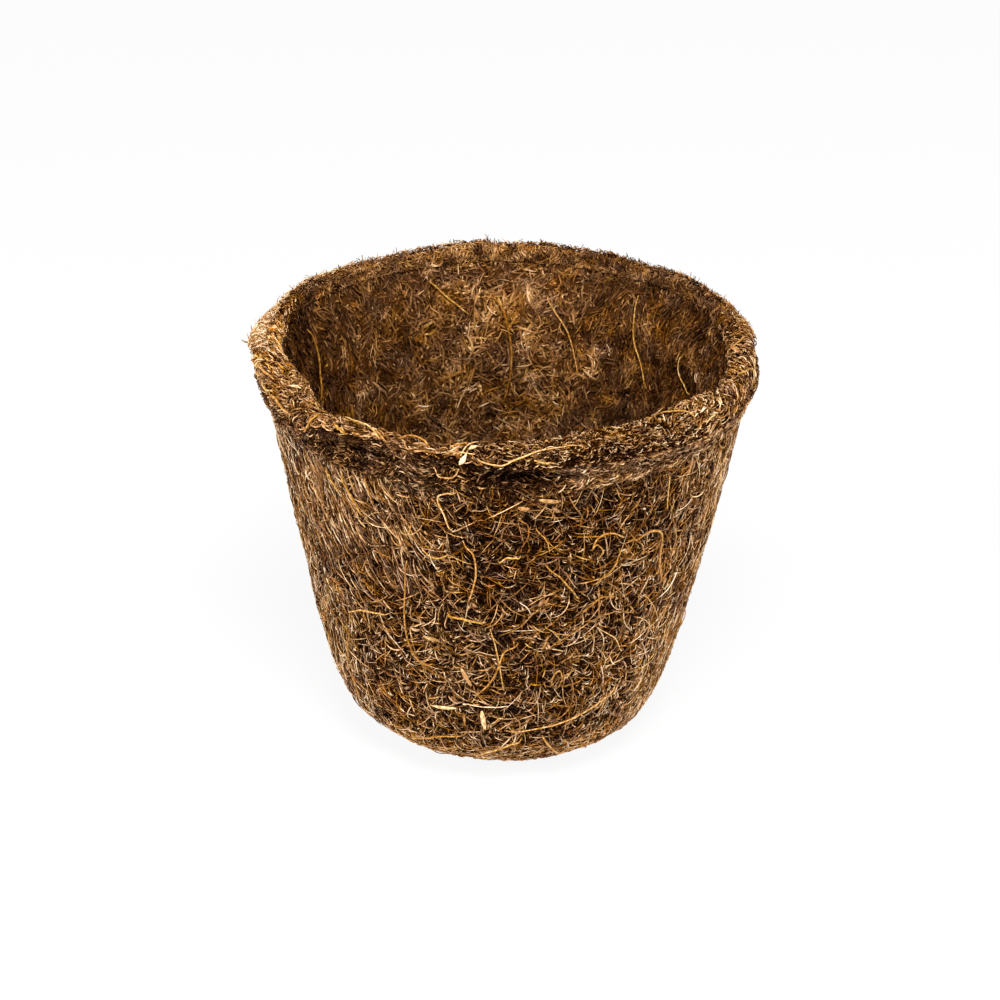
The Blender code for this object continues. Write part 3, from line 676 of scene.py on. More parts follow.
def lay_wall(fibre, grey, golden):
    lay_coat("wall_bed", fibre, 110, 2, 5600, WALL_ZONE, (3, 7), (0.16, 0.36), (-0.9, -0.55),
        (0.14, 0.3, 0.25), wall_way, curl=0.15, dive=0.1, steps=5, grain=0.05, depth_tone=0.1,
        shift=wall_shift)
    lay_coat("wall_mat", fibre, 120, 4, 14000, WALL_ZONE, (0.45, 1.6), (0.12, 0.24), (-0.75, -0.25),
        (0.15, 0.66, 0.35), wall_way, wobble=0.12, steps=2, grain=0.15, shift=wall_shift, edge=0.4)
    lay_fibres("wall_golden", golden, 130, 6000, WALL_ZONE, (1.0, 3.4), (0.12, 0.23), (-0.5, -0.18),
        (0.44, 0.76, 0.55), wall_way, curl=0.16, wobble=0.14, steps=5, dive=0.4, shift=wall_shift)
    lay_fibres("wall_lines", golden, 137, 2900, WALL_ZONE, (2.4, 6.0), (0.09, 0.16), (-0.3, -0.08),
        (0.46, 0.8, 0.45), any_way, curl=0.08, wobble=0.06, dive=0.4, shift=wall_shift)
    lay_fibres("wall_threads", grey, 131, 9000, WALL_ZONE, (0.8, 3.0), (0.07, 0.12), (-0.45, -0.12),
        (0.38, 0.8, 0.45), any_way, curl=0.12, steps=3, shift=wall_shift)
    # Pale fibres in small parallel groups; their pale tone is partly painted highlight, standing for
    # glints
    lay_fibres("wall_glints", fibre, 132, 1500, WALL_ZONE, (0.4, 1.0), (0.12, 0.2), (-0.4, -0.15),
        (0.62, 0.92, 0.6), wall_way, curl=0.15, steps=3, dive=0.25, group=2, shift=wall_shift)
    lay_fibres("wall_streaks", grey, 133, 6400, WALL_ZONE, (1.2, 3.6), (0.09, 0.16), (-0.5, -0.2),
        (0.18, 0.62, 0.4), streak_way, span=(-116, -40), curl=0.05, wobble=0.06, dive=0.15)
    lay_fibres("wall_right_streaks", fibre, 138, 1500, WALL_ZONE, (1.4, 4.0), (0.11, 0.2), (-0.4, -0.12),
        (0.42, 0.72, 0.5), streak_way, span=(36, 112), curl=0.06, wobble=0.08, dive=0.25)
    lay_fibres("wall_slants", fibre, 136, 800, UPPER_WALL_ZONE, (1.6, 4.2), (0.13, 0.28), (-0.35, -0.1),
        (0.4, 0.7, 0.45), slant_way, span=(-66, -10), curl=0.06, wobble=0.05, steps=5)
    lay_fibres("wall_curls", fibre, 134, 900, WALL_ZONE, (2.0, 6.0), (0.12, 0.24), (-0.25, -0.1),
        (0.46, 0.76, 0.55), any_way, curl=0.18, steps=12, sides=4, arch=0.1, dive=0.5, shift=wall_shift)
    lay_fibres("wall_chips", fibre, 135, 260, WALL_ZONE, (0.7, 1.6), (0.35, 0.6), (-0.35, -0.2),
        (0.42, 0.6, 0.4), wall_way, curl=0.05, steps=5, sides=6, flat=(0.2, 0.4))


def lay_crease(fibre):
    lay_fibres("under_lip_fuzz", fibre, 180, 6000, UNDER_LIP_ZONE, (0.4, 1.1), (0.1, 0.18), (-0.6, -0.25),
        (0.26, 0.6, 0.32), any_way, span=(-68, 62), steps=3, curl=0.3, shift=crease_painted_shade)
    lay_fibres("crease_fuzz", fibre, 181, 5200, CREASE_ZONE, (0.4, 1.3), (0.12, 0.24), (-0.3, 0.1),
        (0.28, 0.62, 0.35), base_way, steps=3, curl=0.2, dive=0.1, shift=crease_painted_shade)
    lay_fibres("crease_fill", fibre, 182, 7500, CREASE_FILL_ZONE, (0.5, 1.6), (0.13, 0.26), (-0.25, 0.4),
        (0.3, 0.66, 0.5), lip_way, span=(8, 132), steps=3, curl=0.3)
    lay_fibres("crease_fill_left", fibre, 183, 5600, CREASE_FILL_ZONE, (0.5, 1.6), (0.13, 0.24),
        (-0.3, 0.35), (0.28, 0.62, 0.45), lip_way, span=(-140, -8), steps=3, curl=0.3, shift=crease_painted_shade)


def lay_base(fibre):
    lay_fibres("base_bed", fibre, 140, 5600, BASE_ZONE, (3, 7), (0.16, 0.34), (-0.85, -0.5),
        (0.16, 0.34, 0.3), base_way, curl=0.15, dive=0.1, steps=5, grain=0.05, depth_tone=0.1)
    lay_coat("base_mat", fibre, 141, 2, 9600, BASE_ZONE, (0.5, 2.2), (0.12, 0.26), (-0.7, -0.25),
        (0.27, 0.83, 0.57), base_way, curl=0.12, wobble=0.12, steps=3, grain=0.15, edge=0.4)


def lay_lip(rim, bright):
    lay_fibres("lip_bed", rim, 150, 5600, LIP_ZONE, (1.5, 4.0), (0.16, 0.34), (-0.8, -0.5),
        (0.14, 0.3, 0.3), lip_way, curl=0.15, dive=0.1, grain=0.05, depth_tone=0.1)
    lay_coat("lip_mat", rim, 151, 2, 13500, LIP_ZONE, (0.3, 1.0), (0.11, 0.22), (-0.7, -0.15),
        (0.13, 0.78, 0.42), lip_way, curl=0.2, wobble=0.2, steps=2, flick=0.08, grain=0.17,
        shift=lip_shift, edge=0.5)
    lay_fibres("lip_left_waves", rim, 155, 1700, LIP_ZONE, (1.0, 2.2), (0.12, 0.24), (-0.35, -0.05),
        (0.44, 0.76, 0.55), lip_way, span=(-122, -46), curl=0.4, wobble=0.3, steps=6, sides=4, dive=0.5,
        shift=lip_shift, edge=0.4)
    lay_fibres("lip_left_tuft", bright, 184, 260, RIM_TOP_ZONE, (0.8, 2.0), (0.12, 0.25), (-0.18, 0.08),
        (0.68, 0.92, 0.55), lip_way, span=(-114, -72), curl=0.3, wobble=0.2, steps=5, sides=4, flick=0.1)
    lay_fibres("lip_right_fan", rim, 156, 1300, LIP_ZONE, (0.9, 2.2), (0.12, 0.25), (-0.35, -0.05),
        (0.34, 0.78, 0.5), lip_way, span=(40, 128), wobble=0.08, steps=5, sides=4, dive=0.35, flick=0.1,
        shift=lip_shift, edge=0.4)
    lay_fibres("lip_flap_curls", rim, 159, 260, FLAP_ZONE, (0.9, 2.2), (0.12, 0.22), (-0.2, 0.15),
        (0.46, 0.72, 0.5), lip_way, span=(-66, 4), curl=0.5, wobble=0.3, steps=8, sides=4, flick=0.15)
    lay_fibres("rim_wisps", rim, 157, 2000, RIM_TOP_ZONE, (0.5, 1.4), (0.1, 0.18), (-0.25, 0.0),
        (0.36, 0.76, 0.5), any_way, curl=0.25, wobble=0.2, dive=0.15, flick=0.2, shift=lip_shift)
    lay_fibres("rim_fringe", rim, 158, 4200, FRINGE_ZONE, (0.5, 1.8), (0.1, 0.2), (-0.2, 0.45),
        (0.38, 0.74, 0.52), back_rim_way, span=(88, 280), curl=0.5, wobble=0.4, dive=0.2, flick=0.35,
        shift=fringe_shift)


def lay_inside(inside):
    lay_coat("inner_bed", inside, 160, 3, 5600, INNER_ZONE, (1.2, 3.5), (0.28, 0.55), (-0.45, -0.3),
        (0.32, 0.44, 0.35), inner_way, curl=0.12, dive=0.1, flat=(0.3, 0.5), shift=inner_shift,
        grain=0.03, mottle=0.08, depth_tone=0.06, edge=0.05)
    lay_coat("inner_mat", inside, 165, 2, 13500, INNER_ZONE, (0.45, 1.2), (0.2, 0.4), (-0.4, -0.22),
        (0.34, 0.54, 0.42), inner_mat_way, curl=0.3, wobble=0.4, steps=2, flat=(0.3, 0.6),
        shift=inner_shift, grain=0.08, mottle=0.08, depth_tone=0.08, edge=0.05)
    lay_fibres("inner_golden", inside, 168, 1800, INNER_ZONE, (0.7, 2.6), (0.14, 0.28), (-0.3, -0.12),
        (0.5, 0.66, 0.5), inner_way, curl=0.3, wobble=0.2, steps=5, flat=(0.5, 0.8), shift=inner_shift,
        grain=0.05, mottle=0.08, depth_tone=0.1, edge=0.12)
    lay_fibres("inner_rim", inside, 169, 5200, INNER_RIM_ZONE, (0.5, 1.8), (0.16, 0.32), (-0.3, -0.05),
        (0.33, 0.52, 0.45), back_rim_way, span=(92, 268), curl=0.3, wobble=0.3, steps=3,
        shift=inner_shift, grain=0.06, mottle=0.1, depth_tone=0.1, edge=0.12)
    lay_fibres("inner_floor", inside, 170, 5600, FLOOR_ZONE, (1.0, 3.0), (0.26, 0.5), (-0.35, -0.15),
        (0.32, 0.44, 0.4), any_way, curl=0.15, wobble=0.12, flat=(0.3, 0.5), grain=0.04, mottle=0.08,
        depth_tone=0.06, edge=0.05)


# Loose strands and flakes

FINE, MIDDLE, THICK = 0.26, 0.36, 0.52
FACE_SPANS = {"wall": (WALL_START, WALL_END), "lip": (LIP_START, LIP_END),
              "inside": (INSIDE_START, INSIDE_END)}
STRAND_TONES = {"pale": 0.82, "golden": 0.7, "brown": 0.6, "husk_pale": 0.85,
                "husk_brown": 0.68}

# Strands as (face, start of the nodes' names, rows of (rest of the name, diameter, look, route)).
# A route's points are an azimuth in degrees and a share of the way up the wall, across the lip
# from its lower edge to the inside, or down the inside.
STRANDS = (
    ("wall", "wall_strand_", (
        ("flake_tail", MIDDLE, "pale", ((-11, 0.975), (-14, 0.972), (-15.3, 0.955), (-14, 0.92),
         (-12.5, 0.87))),
        ("hook_left", MIDDLE, "golden", ((-25, 0.77), (-26.5, 0.68), (-28, 0.55), (-25, 0.48),
         (-21, 0.47))),
        ("loop", MIDDLE, "golden", ((-10, 0.84), (-7.5, 0.81), (-7, 0.76), (-8, 0.71), (-9.5, 0.67))),
        ("arch", MIDDLE, "golden", ((-20.5, 0.81), (-17, 0.79), (-14, 0.8))),
        ("thick", THICK, "golden", ((-15, 0.635), (-11, 0.63), (-5, 0.615))),
        ("low_left", MIDDLE, "pale", ((-33, 0.59), (-42, 0.575), (-50, 0.54))),
        ("left_drop", FINE, "golden", ((-53, 0.45), (-56, 0.36), (-53, 0.27))),
        ("slant_long", THICK, "golden", ((-40.5, 0.96), (-38.5, 0.915), (-36, 0.86))),
        ("slant_short", MIDDLE, "golden", ((-46, 0.955), (-44.5, 0.93), (-43, 0.9))),
        ("upright_left", MIDDLE, "brown", ((-33.5, 0.97), (-32.5, 0.94), (-32, 0.9))),
        ("hook_right", THICK, "golden", ((33, 0.8), (38, 0.82), (42, 0.79), (43.5, 0.71), (47, 0.63))),
        ("arch_right", MIDDLE, "golden", ((21.5, 0.8), (22.5, 0.835), (26, 0.845), (30.5, 0.82))),
        ("branch", MIDDLE, "brown", ((29.5, 0.79), (28, 0.74), (23, 0.7))),
        ("upright_right", FINE, "pale", ((41, 0.96), (41.5, 0.91), (42, 0.86))),
        ("diagonal", MIDDLE, "golden", ((10, 0.78), (15, 0.73), (20, 0.665))),
        ("bend", FINE, "brown", ((3, 0.92), (5.5, 0.89), (5.5, 0.86), (4, 0.83))),
        ("short_bend", FINE, "golden", ((7.5, 0.88), (10, 0.85), (11, 0.815))),
        ("short_pale", MIDDLE, "pale", ((-1.5, 0.79), (1, 0.805), (4, 0.805))),
        ("crest", MIDDLE, "golden", ((21, 0.625), (26, 0.66), (30.5, 0.65))),
        ("s_curve", MIDDLE, "golden", ((4, 0.55), (0, 0.53), (-2, 0.48), (-4.5, 0.435), (-9, 0.39))),
        ("tail_right", FINE, "pale", ((27, 0.565), (32, 0.53), (36.5, 0.47))),
        ("low_right", FINE, "golden", ((41.2, 0.62), (45, 0.58), (49, 0.53))),
        ("loop_low", FINE, "golden", ((13.8, 0.415), (14.3, 0.45), (16.0, 0.465), (17.0, 0.44),
         (15.9, 0.41))),
        ("bend_low", FINE, "golden", ((11, 0.6), (14, 0.58), (15.5, 0.55))))),
    ("wall", "base_strand_", (
        ("long", MIDDLE, "pale", ((0, 0.285), (12, 0.3), (22, 0.315), (30, 0.34), (37, 0.37))),
        ("left", MIDDLE, "golden", ((-36, 0.2), (-24, 0.245), (-12, 0.27))),
        ("low", MIDDLE, "pale", ((-11, 0.185), (-2, 0.225), (6, 0.255))),
        ("drop", THICK, "golden", ((12.5, 0.265), (16, 0.22), (21, 0.16))),
        ("right", FINE, "golden", ((33, 0.23), (32, 0.19), (34, 0.14))))),
    ("lip", "rim_strand_", (
        ("long", MIDDLE, "pale", ((-6.2, 0.37), (-3, 0.23), (0, 0.25), (3.5, 0.46), (9, 0.6),
         (18.5, 0.62))),
        ("upright", THICK, "golden", ((-12.5, 0.66), (-11, 0.74), (-9, 0.83))),
        ("left_thick", THICK, "golden", ((-47.2, 0.65), (-47.8, 0.48), (-48.8, 0.24), (-50.5, 0.05))),
        ("lower_edge", THICK, "golden", ((-65, 0.45), (-61.3, 0.41), (-56, 0.32))),
        ("upper_edge", THICK, "golden", ((-80, 0.5), (-75.8, 0.55), (-71, 0.6))),
        ("hollow", THICK, "golden", ((-42, 0.58), (-39.5, 0.45), (-37, 0.3))),
        ("fork", MIDDLE, "golden", ((-32, 0.72), (-29.5, 0.62), (-27.2, 0.52))),
        ("arc_right", MIDDLE, "golden", ((43, 0.8), (45.2, 0.73), (47, 0.63), (47.5, 0.5))),
        ("right_pale", MIDDLE, "pale", ((49.8, 0.38), (51.8, 0.4), (53.8, 0.42))),
        ("right_curl", FINE, "golden", ((54.5, 0.34), (56.2, 0.29), (58.2, 0.27), (59.5, 0.34),
         (59.8, 0.4))))),
    ("inside", "inner_strand_", (
        ("left", THICK, "brown", ((-117.5, 0.07), (-116.5, 0.13), (-115, 0.17), (-112, 0.23))),
        ("back_left", MIDDLE, "golden", ((-160, 0.06), (-164.5, 0.1), (-170, 0.14))),
        ("back", MIDDLE, "golden", ((168, 0.1), (161, 0.17), (156, 0.28))),
        ("back_right", MIDDLE, "golden", ((142.2, 0.06), (139.5, 0.15), (135.2, 0.2), (132, 0.26))),
        ("centre", THICK, "brown", ((183, 0.1), (179.8, 0.14), (177.8, 0.22), (178, 0.29),
         (180.2, 0.36))),
        ("right", FINE, "pale", ((119.8, 0.14), (118.5, 0.18), (112, 0.21))))),
)

# Flakes as (node, face, start, end, width, look, point), with the same places as the strands. The
# greater the point, the more the flake narrows towards its ends.
FLAKES = (
    ("rim_flake_pale", "lip", (-8.2, 0.58), (-9.8, 0.02), 0.66, "husk_pale", 1.3),
    ("rim_flake_small", "lip", (-8.0, 0.6), (-6.2, 0.7), 0.65, "husk_pale", 0.8),
    ("rim_flake_left", "lip", (-64.5, 0.66), (-61.5, 0.76), 0.6, "husk_pale", 0.8),
    ("husk_chip_front", "wall", (7.8, 0.965), (12.5, 0.96), 0.62, "husk_brown", 0.4),
    ("husk_chip_small", "wall", (3.0, 0.945), (5.6, 0.94), 0.6, "husk_brown", 0.5),
    ("husk_chip_low", "wall", (-22.5, 0.352), (-14.5, 0.355), 0.5, "husk_pale", 0.6),
    ("husk_chip_left", "wall", (-22.5, 0.555), (-18.0, 0.55), 0.6, "husk_brown", 0.5),
    ("husk_splinter", "wall", (-6.8, 0.352), (-6.0, 0.298), 0.6, "husk_pale", 0.3),
    ("husk_sliver", "wall", (-12.4, 0.478), (-9.6, 0.428), 0.6, "husk_brown", 0.4),
)
BRIGHT_FLAKES = {"rim_flake_pale": 0.1, "rim_flake_small": 0.05}

# Fine hairs as (face, diameter, tone, route), whose routes also say how far they stand off
HAIRS = (
    ("lip", 0.2, 0.5, ((-90.5, 0.45, -0.1), (-92.5, 0.42, 0.5), (-93.5, 0.4, 1.3))),
    ("lip", 0.3, 0.7, ((-25, 0.66, 0.1), (-23, 0.7, 0.7), (-20.5, 0.7, 0.9), (-18.5, 0.68, 0.6),
     (-17, 0.62, 0.0))),
    ("lip", 0.18, 0.9, ((-12.4, 0.71, 0.1), (-10.4, 0.57, 0.15), (-8.6, 0.53, 0.2), (-6.4, 0.5, 0.1))),
    ("lip", 0.2, 0.88, ((-9.6, 0.45, 0.1), (-9, 0.6, 0.25), (-8, 0.74, 0.3), (-6.3, 0.88, 0.1))),
    ("lip", 0.2, 0.86, ((-9.9, 0.02, 0.2), (-10.8, -0.02, 0.5), (-12.6, -0.05, 0.7), (-14.6, -0.07, 0.7),
     (-15.8, -0.12, 0.5))),
    ("lip", 0.26, 0.84, ((-42, 0.83, 0.1), (-38, 0.79, 0.15), (-34, 0.75, 0.15), (-29.5, 0.57, 0.1))),
    ("lip", 0.24, 0.82, ((-72, 0.44, 0.1), (-68.2, 0.43, 0.15), (-65.2, 0.49, 0.1))),
    ("lip", 0.3, 0.74, ((6.5, 0.38, 0.0), (8.8, 0.31, 0.1), (10.8, 0.27, 0.0))),
    ("lip", 0.26, 0.74, ((86.8, 0.84, 0.1), (90.8, 0.68, 0.2), (95.8, 0.53, 0.1))),
    ("lip", 0.26, 0.72, ((72.5, 0.66, 0.1), (74.5, 0.57, 0.15), (78, 0.47, 0.1))),
    ("wall", 0.2, 0.78, ((-3.7, 0.6, 0.05), (-2.2, 0.54, 0.1), (-1.2, 0.49, 0.1), (-0.2, 0.42, 0.05))),
    ("wall", 0.2, 0.7, ((25, 0.69, 0.05), (25.6, 0.65, 0.1), (26.3, 0.6, 0.05))),
    ("wall", 0.18, 0.66, ((-48.8, 0.54, 0.05), (-51.5, 0.47, 0.1), (-54.2, 0.405, 0.1),
     (-54.8, 0.36, 0.05))),
    ("wall", 0.2, 0.7, ((21.5, 0.805, 0.05), (22.8, 0.82, 0.1), (24.5, 0.8, 0.1), (23.8, 0.778, 0.05))),
    ("wall", 0.2, 0.7, ((57.7, 0.995, 0.05), (59, 0.965, 0.1), (62.5, 0.945, 0.15), (62.8, 0.965, 0.1),
     (60.8, 0.98, 0.05))),
)


def smooth_route(points, steps):
    """Even samples of a smooth curve through the route's own points."""
    points = np.array(points, dtype=float)
    padded = np.concatenate([2 * points[:1] - points[1:2], points,
                             2 * points[-1:] - points[-2:-1]])
    place_at = np.linspace(0, len(points) - 1, steps + 1)
    span = np.minimum(place_at.astype(int), len(points) - 2)
    t = (place_at - span)[:, None]
    before, first, last, after = (padded[span + k] for k in range(4))
    return 0.5 * (2 * first + (last - before) * t
                  + (2 * before - 5 * first + 4 * last - after) * t ** 2
                  + (3 * first - before - 3 * last + after) * t ** 3)


STRAND_SEED, HAIR_SEED = 77, 78
STRAND_REST = -0.05
STRAND_LIFT = 0.18
STRAND_CATCH = 0.5
CATCH_START = 0.86
STRAND_KINK = 0.05
STRAND_BUMPS = 0.07
KINK_KNOTS, LIFT_KNOTS, BUMP_KNOTS = 9, 7, 13
STRAND_THINNESS = 0.66
STRAND_FLATNESS = 0.85
# Painted shade on the side of each strand that lies on the felt
STRAND_PAINTED_SIDE_SHADE = 0.25
STRAND_TIP_SHARE = 0.02
STRAND_TONE_SPREAD = 0.05
SCRAP_LIFT = 0.2
SCRAP_ARCH = 0.1
SCRAP_RAGGEDNESS = 0.1
SCRAP_THICKNESS = 0.3
MEAN_WARMTH = 0.5


def single_tube(rng, azimuth, along, stand, radii, sides, flatness, tone, edge):
    stand = stand + felt_rise(azimuth, along)
    paths, normals = place(azimuth[None], along[None], stand[None])
    return tube_arrays(paths, normals, radii[None], sides, np.array([flatness]),
                       np.full((1, len(radii)), tone), rng.uniform(size=1),
                       np.array([MEAN_WARMTH]), edge)


def strand_arrays(rng, face, diameter, tone, route, steps=36, sides=8):
    """One round fibre on its route, slightly kinked, with its ends caught in the felt."""
    low, high = FACE_SPANS[face]
    samples = smooth_route(route, steps)
    t = np.linspace(0, 1, steps + 1)
    kinks = np.interp(t, np.linspace(0, 1, KINK_KNOTS), rng.normal(size=KINK_KNOTS)) * STRAND_KINK
    azimuth = np.radians(samples[:, 0])
    along = low + samples[:, 1] * (high - low)
    along = along + kinks / stretch(azimuth, along)
    if samples.shape[1] == 3:
        stand = samples[:, 2]
    else:
        lifts = rng.uniform(0.0, STRAND_LIFT, LIFT_KNOTS)
        lift = np.interp(t, np.linspace(0, 1, LIFT_KNOTS), lifts)
        caught = STRAND_CATCH * ease(np.abs(2 * t - 1), CATCH_START, 1.0)
        stand = STRAND_REST + diameter / 2 + lift - caught
    fullness = 0.5 + 0.5 * np.sin(math.pi * np.clip(t, STRAND_TIP_SHARE, 1 - STRAND_TIP_SHARE)) ** 0.5
    bumps = np.interp(t, np.linspace(0, 1, BUMP_KNOTS), rng.normal(size=BUMP_KNOTS))
    radii = diameter / 2 * fullness * (1 + STRAND_BUMPS * bumps)
    return single_tube(rng, azimuth, along, stand, radii, sides, STRAND_FLATNESS, tone, STRAND_PAINTED_SIDE_SHADE)


def flake_arrays(rng, face, start, end, width, tone, point, steps=14, sides=10):
    """A thin scrap of husk with a ragged outline, lying on the felt."""
    low, high = FACE_SPANS[face]
    t = np.linspace(0, 1, steps + 1)
    azimuth = np.radians(start[0] + (end[0] - start[0]) * t)
    along = low + (start[1] + (end[1] - start[1]) * t) * (high - low)
    stand = STRAND_REST + SCRAP_LIFT + SCRAP_ARCH * np.sin(math.pi * t)
    outline = 0.06 + 0.94 * np.sin(math.pi * np.clip(t, STRAND_TIP_SHARE, 1 - STRAND_TIP_SHARE)) ** point
    ragged = 1 + SCRAP_RAGGEDNESS * rng.normal(size=steps + 1)
    radii = width / 2 * outline * ragged
    return single_tube(rng, azimuth, along, stand, radii, sides, SCRAP_THICKNESS / width, tone, 0.0)


def lay_named_pieces(looks):
    """Every strand and flake of the frame, as a finer piece on the same route."""
    rng = np.random.default_rng(STRAND_SEED)
    for face, words, strands in STRANDS:
        for name, diameter, look, route in strands:
            tone = STRAND_TONES[look] + rng.uniform(-STRAND_TONE_SPREAD, STRAND_TONE_SPREAD)
            arrays = strand_arrays(rng, face, diameter * STRAND_THINNESS, tone, route)
            node = words + name
            finish_piece(f"{node}_fibre", arrays, looks[look], node)
    for node, face, start, end, width, look, point in FLAKES:
        tone = STRAND_TONES[look] + BRIGHT_FLAKES.get(node, 0.0)
        arrays = flake_arrays(rng, face, start, end, width, tone, point)
        finish_piece(f"{node}_scrap", arrays, looks[look], node)


def lay_hairs(material):
    rng = np.random.default_rng(HAIR_SEED)
    for index, (face, diameter, tone, route) in enumerate(HAIRS):
        arrays = strand_arrays(rng, face, diameter, tone, route, steps=24, sides=6)
        finish_piece(f"fine_hair_{index}", arrays, material)


# Materials


def srgb(red, green, blue):
    """Linear colour from the 0-255 values that a screen shows."""
    out = []
    for value in (red, green, blue):
        value = value / 255
        out.append(value / 12.92 if value <= 0.04045 else ((value + 0.055) / 1.055) ** 2.4)
    return tuple(out)


def new_material(name):
    material = bpy.data.materials.new(name)
    material.use_nodes = True
    nodes = material.node_tree.nodes
    return material, nodes, nodes["Principled BSDF"]


def feed(node, inputs):
    """Sets each input of a node to a value, or links it to an output of another node."""
    for name, value in inputs.items():
        if isinstance(value, bpy.types.NodeSocket):
            node.id_data.links.new(value, node.inputs[name])
        else:
            node.inputs[name].default_value = value


def add_node(nodes, kind, inputs, **settings):
    node = nodes.new("ShaderNode" + kind)
    for name, value in settings.items():
        setattr(node, name, value)
    feed(node, inputs)
    return node


def noise(nodes, scale, detail, distortion=0.0):
    coords = add_node(nodes, "TexCoord", {})
    return add_node(nodes, "TexNoise", {"Vector": coords.outputs["Object"], "Scale": scale,
                                        "Detail": detail, "Distortion": distortion}).outputs["Fac"]


def bump(nodes, height, strength, distance):
    return add_node(nodes, "Bump", {"Height": height, "Strength": strength,
                                    "Distance": distance}).outputs["Normal"]


def ramp(nodes, source, stops):
    node = add_node(nodes, "ValToRGB", {"Fac": source})
    elements = node.color_ramp.elements
    while len(elements) < len(stops):
        elements.new(0.5)
    for element, (position, colour) in zip(elements, stops):
        element.position = position
        element.color = (*colour, 1.0)
    return node.outputs["Color"]


def remap(nodes, source, low, high, from_low=0.0, from_high=1.0):
    """A source value carried from one range to another."""
    return add_node(nodes, "MapRange", {"Value": source, "From Min": from_low, "From Max": from_high,
                                        "To Min": low, "To Max": high}).outputs["Result"]


FIBRE_STOPS = ((0.0, srgb(22, 9, 2)), (0.16, srgb(50, 28, 11)), (0.34, srgb(87, 56, 28)),
               (0.52, srgb(135, 93, 50)), (0.70, srgb(189, 140, 84)), (0.86, srgb(230, 189, 135)),
               (1.0, srgb(251, 229, 192)))
HUE_SPREAD = 0.007
SATURATION_SPREAD = 0.11
WARM_SHEEN = (1.0, 0.78, 0.55, 1.0)
# Noise scales per metre, and bump depths in metres
FLECK_SCALE, GRAIN_SCALE, THREAD_SCALE = 2600.0, 6000.0, 1400.0
GRAIN_DEPTH, THREAD_DEPTH = 0.00005, 0.0003
NOISE_RANGE = (0.3, 0.7)
SHEEN_TONES = (0.2, 0.8)


def fibre_material(name, roughness, sheen_level, saturation, hue, fleck):
    """Fibres whose tone comes from the mesh, with flecks along them and fine grain."""
    material, nodes, shader = new_material(name)
    attribute = add_node(nodes, "Attribute", {}, attribute_name="tone")
    parts = add_node(nodes, "SeparateColor", {"Color": attribute.outputs["Color"]}).outputs
    flecks = remap(nodes, noise(nodes, FLECK_SCALE, 2.0), -fleck, fleck, *NOISE_RANGE)
    tone = add_node(nodes, "Math", {0: parts["Red"], 1: flecks}, operation="ADD",
                    use_clamp=True).outputs["Value"]
    tint = add_node(nodes, "HueSaturation", {
        "Hue": remap(nodes, parts["Green"], hue - HUE_SPREAD, hue + HUE_SPREAD),
        "Saturation": remap(nodes, parts["Blue"], saturation - SATURATION_SPREAD,
                            saturation + SATURATION_SPREAD),
        "Color": ramp(nodes, tone, FIBRE_STOPS)})
    feed(shader, {
        "Base Color": tint.outputs["Color"],
        "Roughness": roughness,
        "Specular IOR Level": remap(nodes, tone, 0.0, sheen_level, *SHEEN_TONES),
        "Specular Tint": WARM_SHEEN,
        "Normal": bump(nodes, noise(nodes, GRAIN_SCALE, 3.0), 0.3, GRAIN_DEPTH)})
    return material


# The outer felt is near black: its own dark brown, darkened further as painted shade for the gaps between
# the fibres
OUTER_FELT_WITH_GAP_SHADE = ((0.3, srgb(14, 6, 2)), (0.55, srgb(34, 17, 6)), (0.75, srgb(64, 38, 17)))
INNER_FELT = ((0.3, srgb(44, 22, 6)), (0.55, srgb(74, 43, 16)), (0.75, srgb(104, 66, 28)))


def core_material(name, stops):
    """Matted felt between the fibres: dark in the gaps, with brown threads."""
    material, nodes, shader = new_material(name)
    threads = noise(nodes, THREAD_SCALE, 4.0, 1.5)
    feed(shader, {
        "Base Color": ramp(nodes, threads, stops),
        "Roughness": 0.95,
        "Specular IOR Level": 0.0,
        "Normal": bump(nodes, threads, 0.8, THREAD_DEPTH)})
    return material


# The core

CORE_COLUMNS = 360
CORE_SINK = 0.8
CREASE_SINK = 0.3
INNER_SINK = 0.5
INNER_EASE = 2.0
CORE_MARGIN = 0.6
CORE_ROWS = (130, 14, 116)
# Lumps of the core as (depth, seed, wavelength)
CORE_LUMPS = ((0.12, 21, 2.2), (0.08, 22, 1.1))


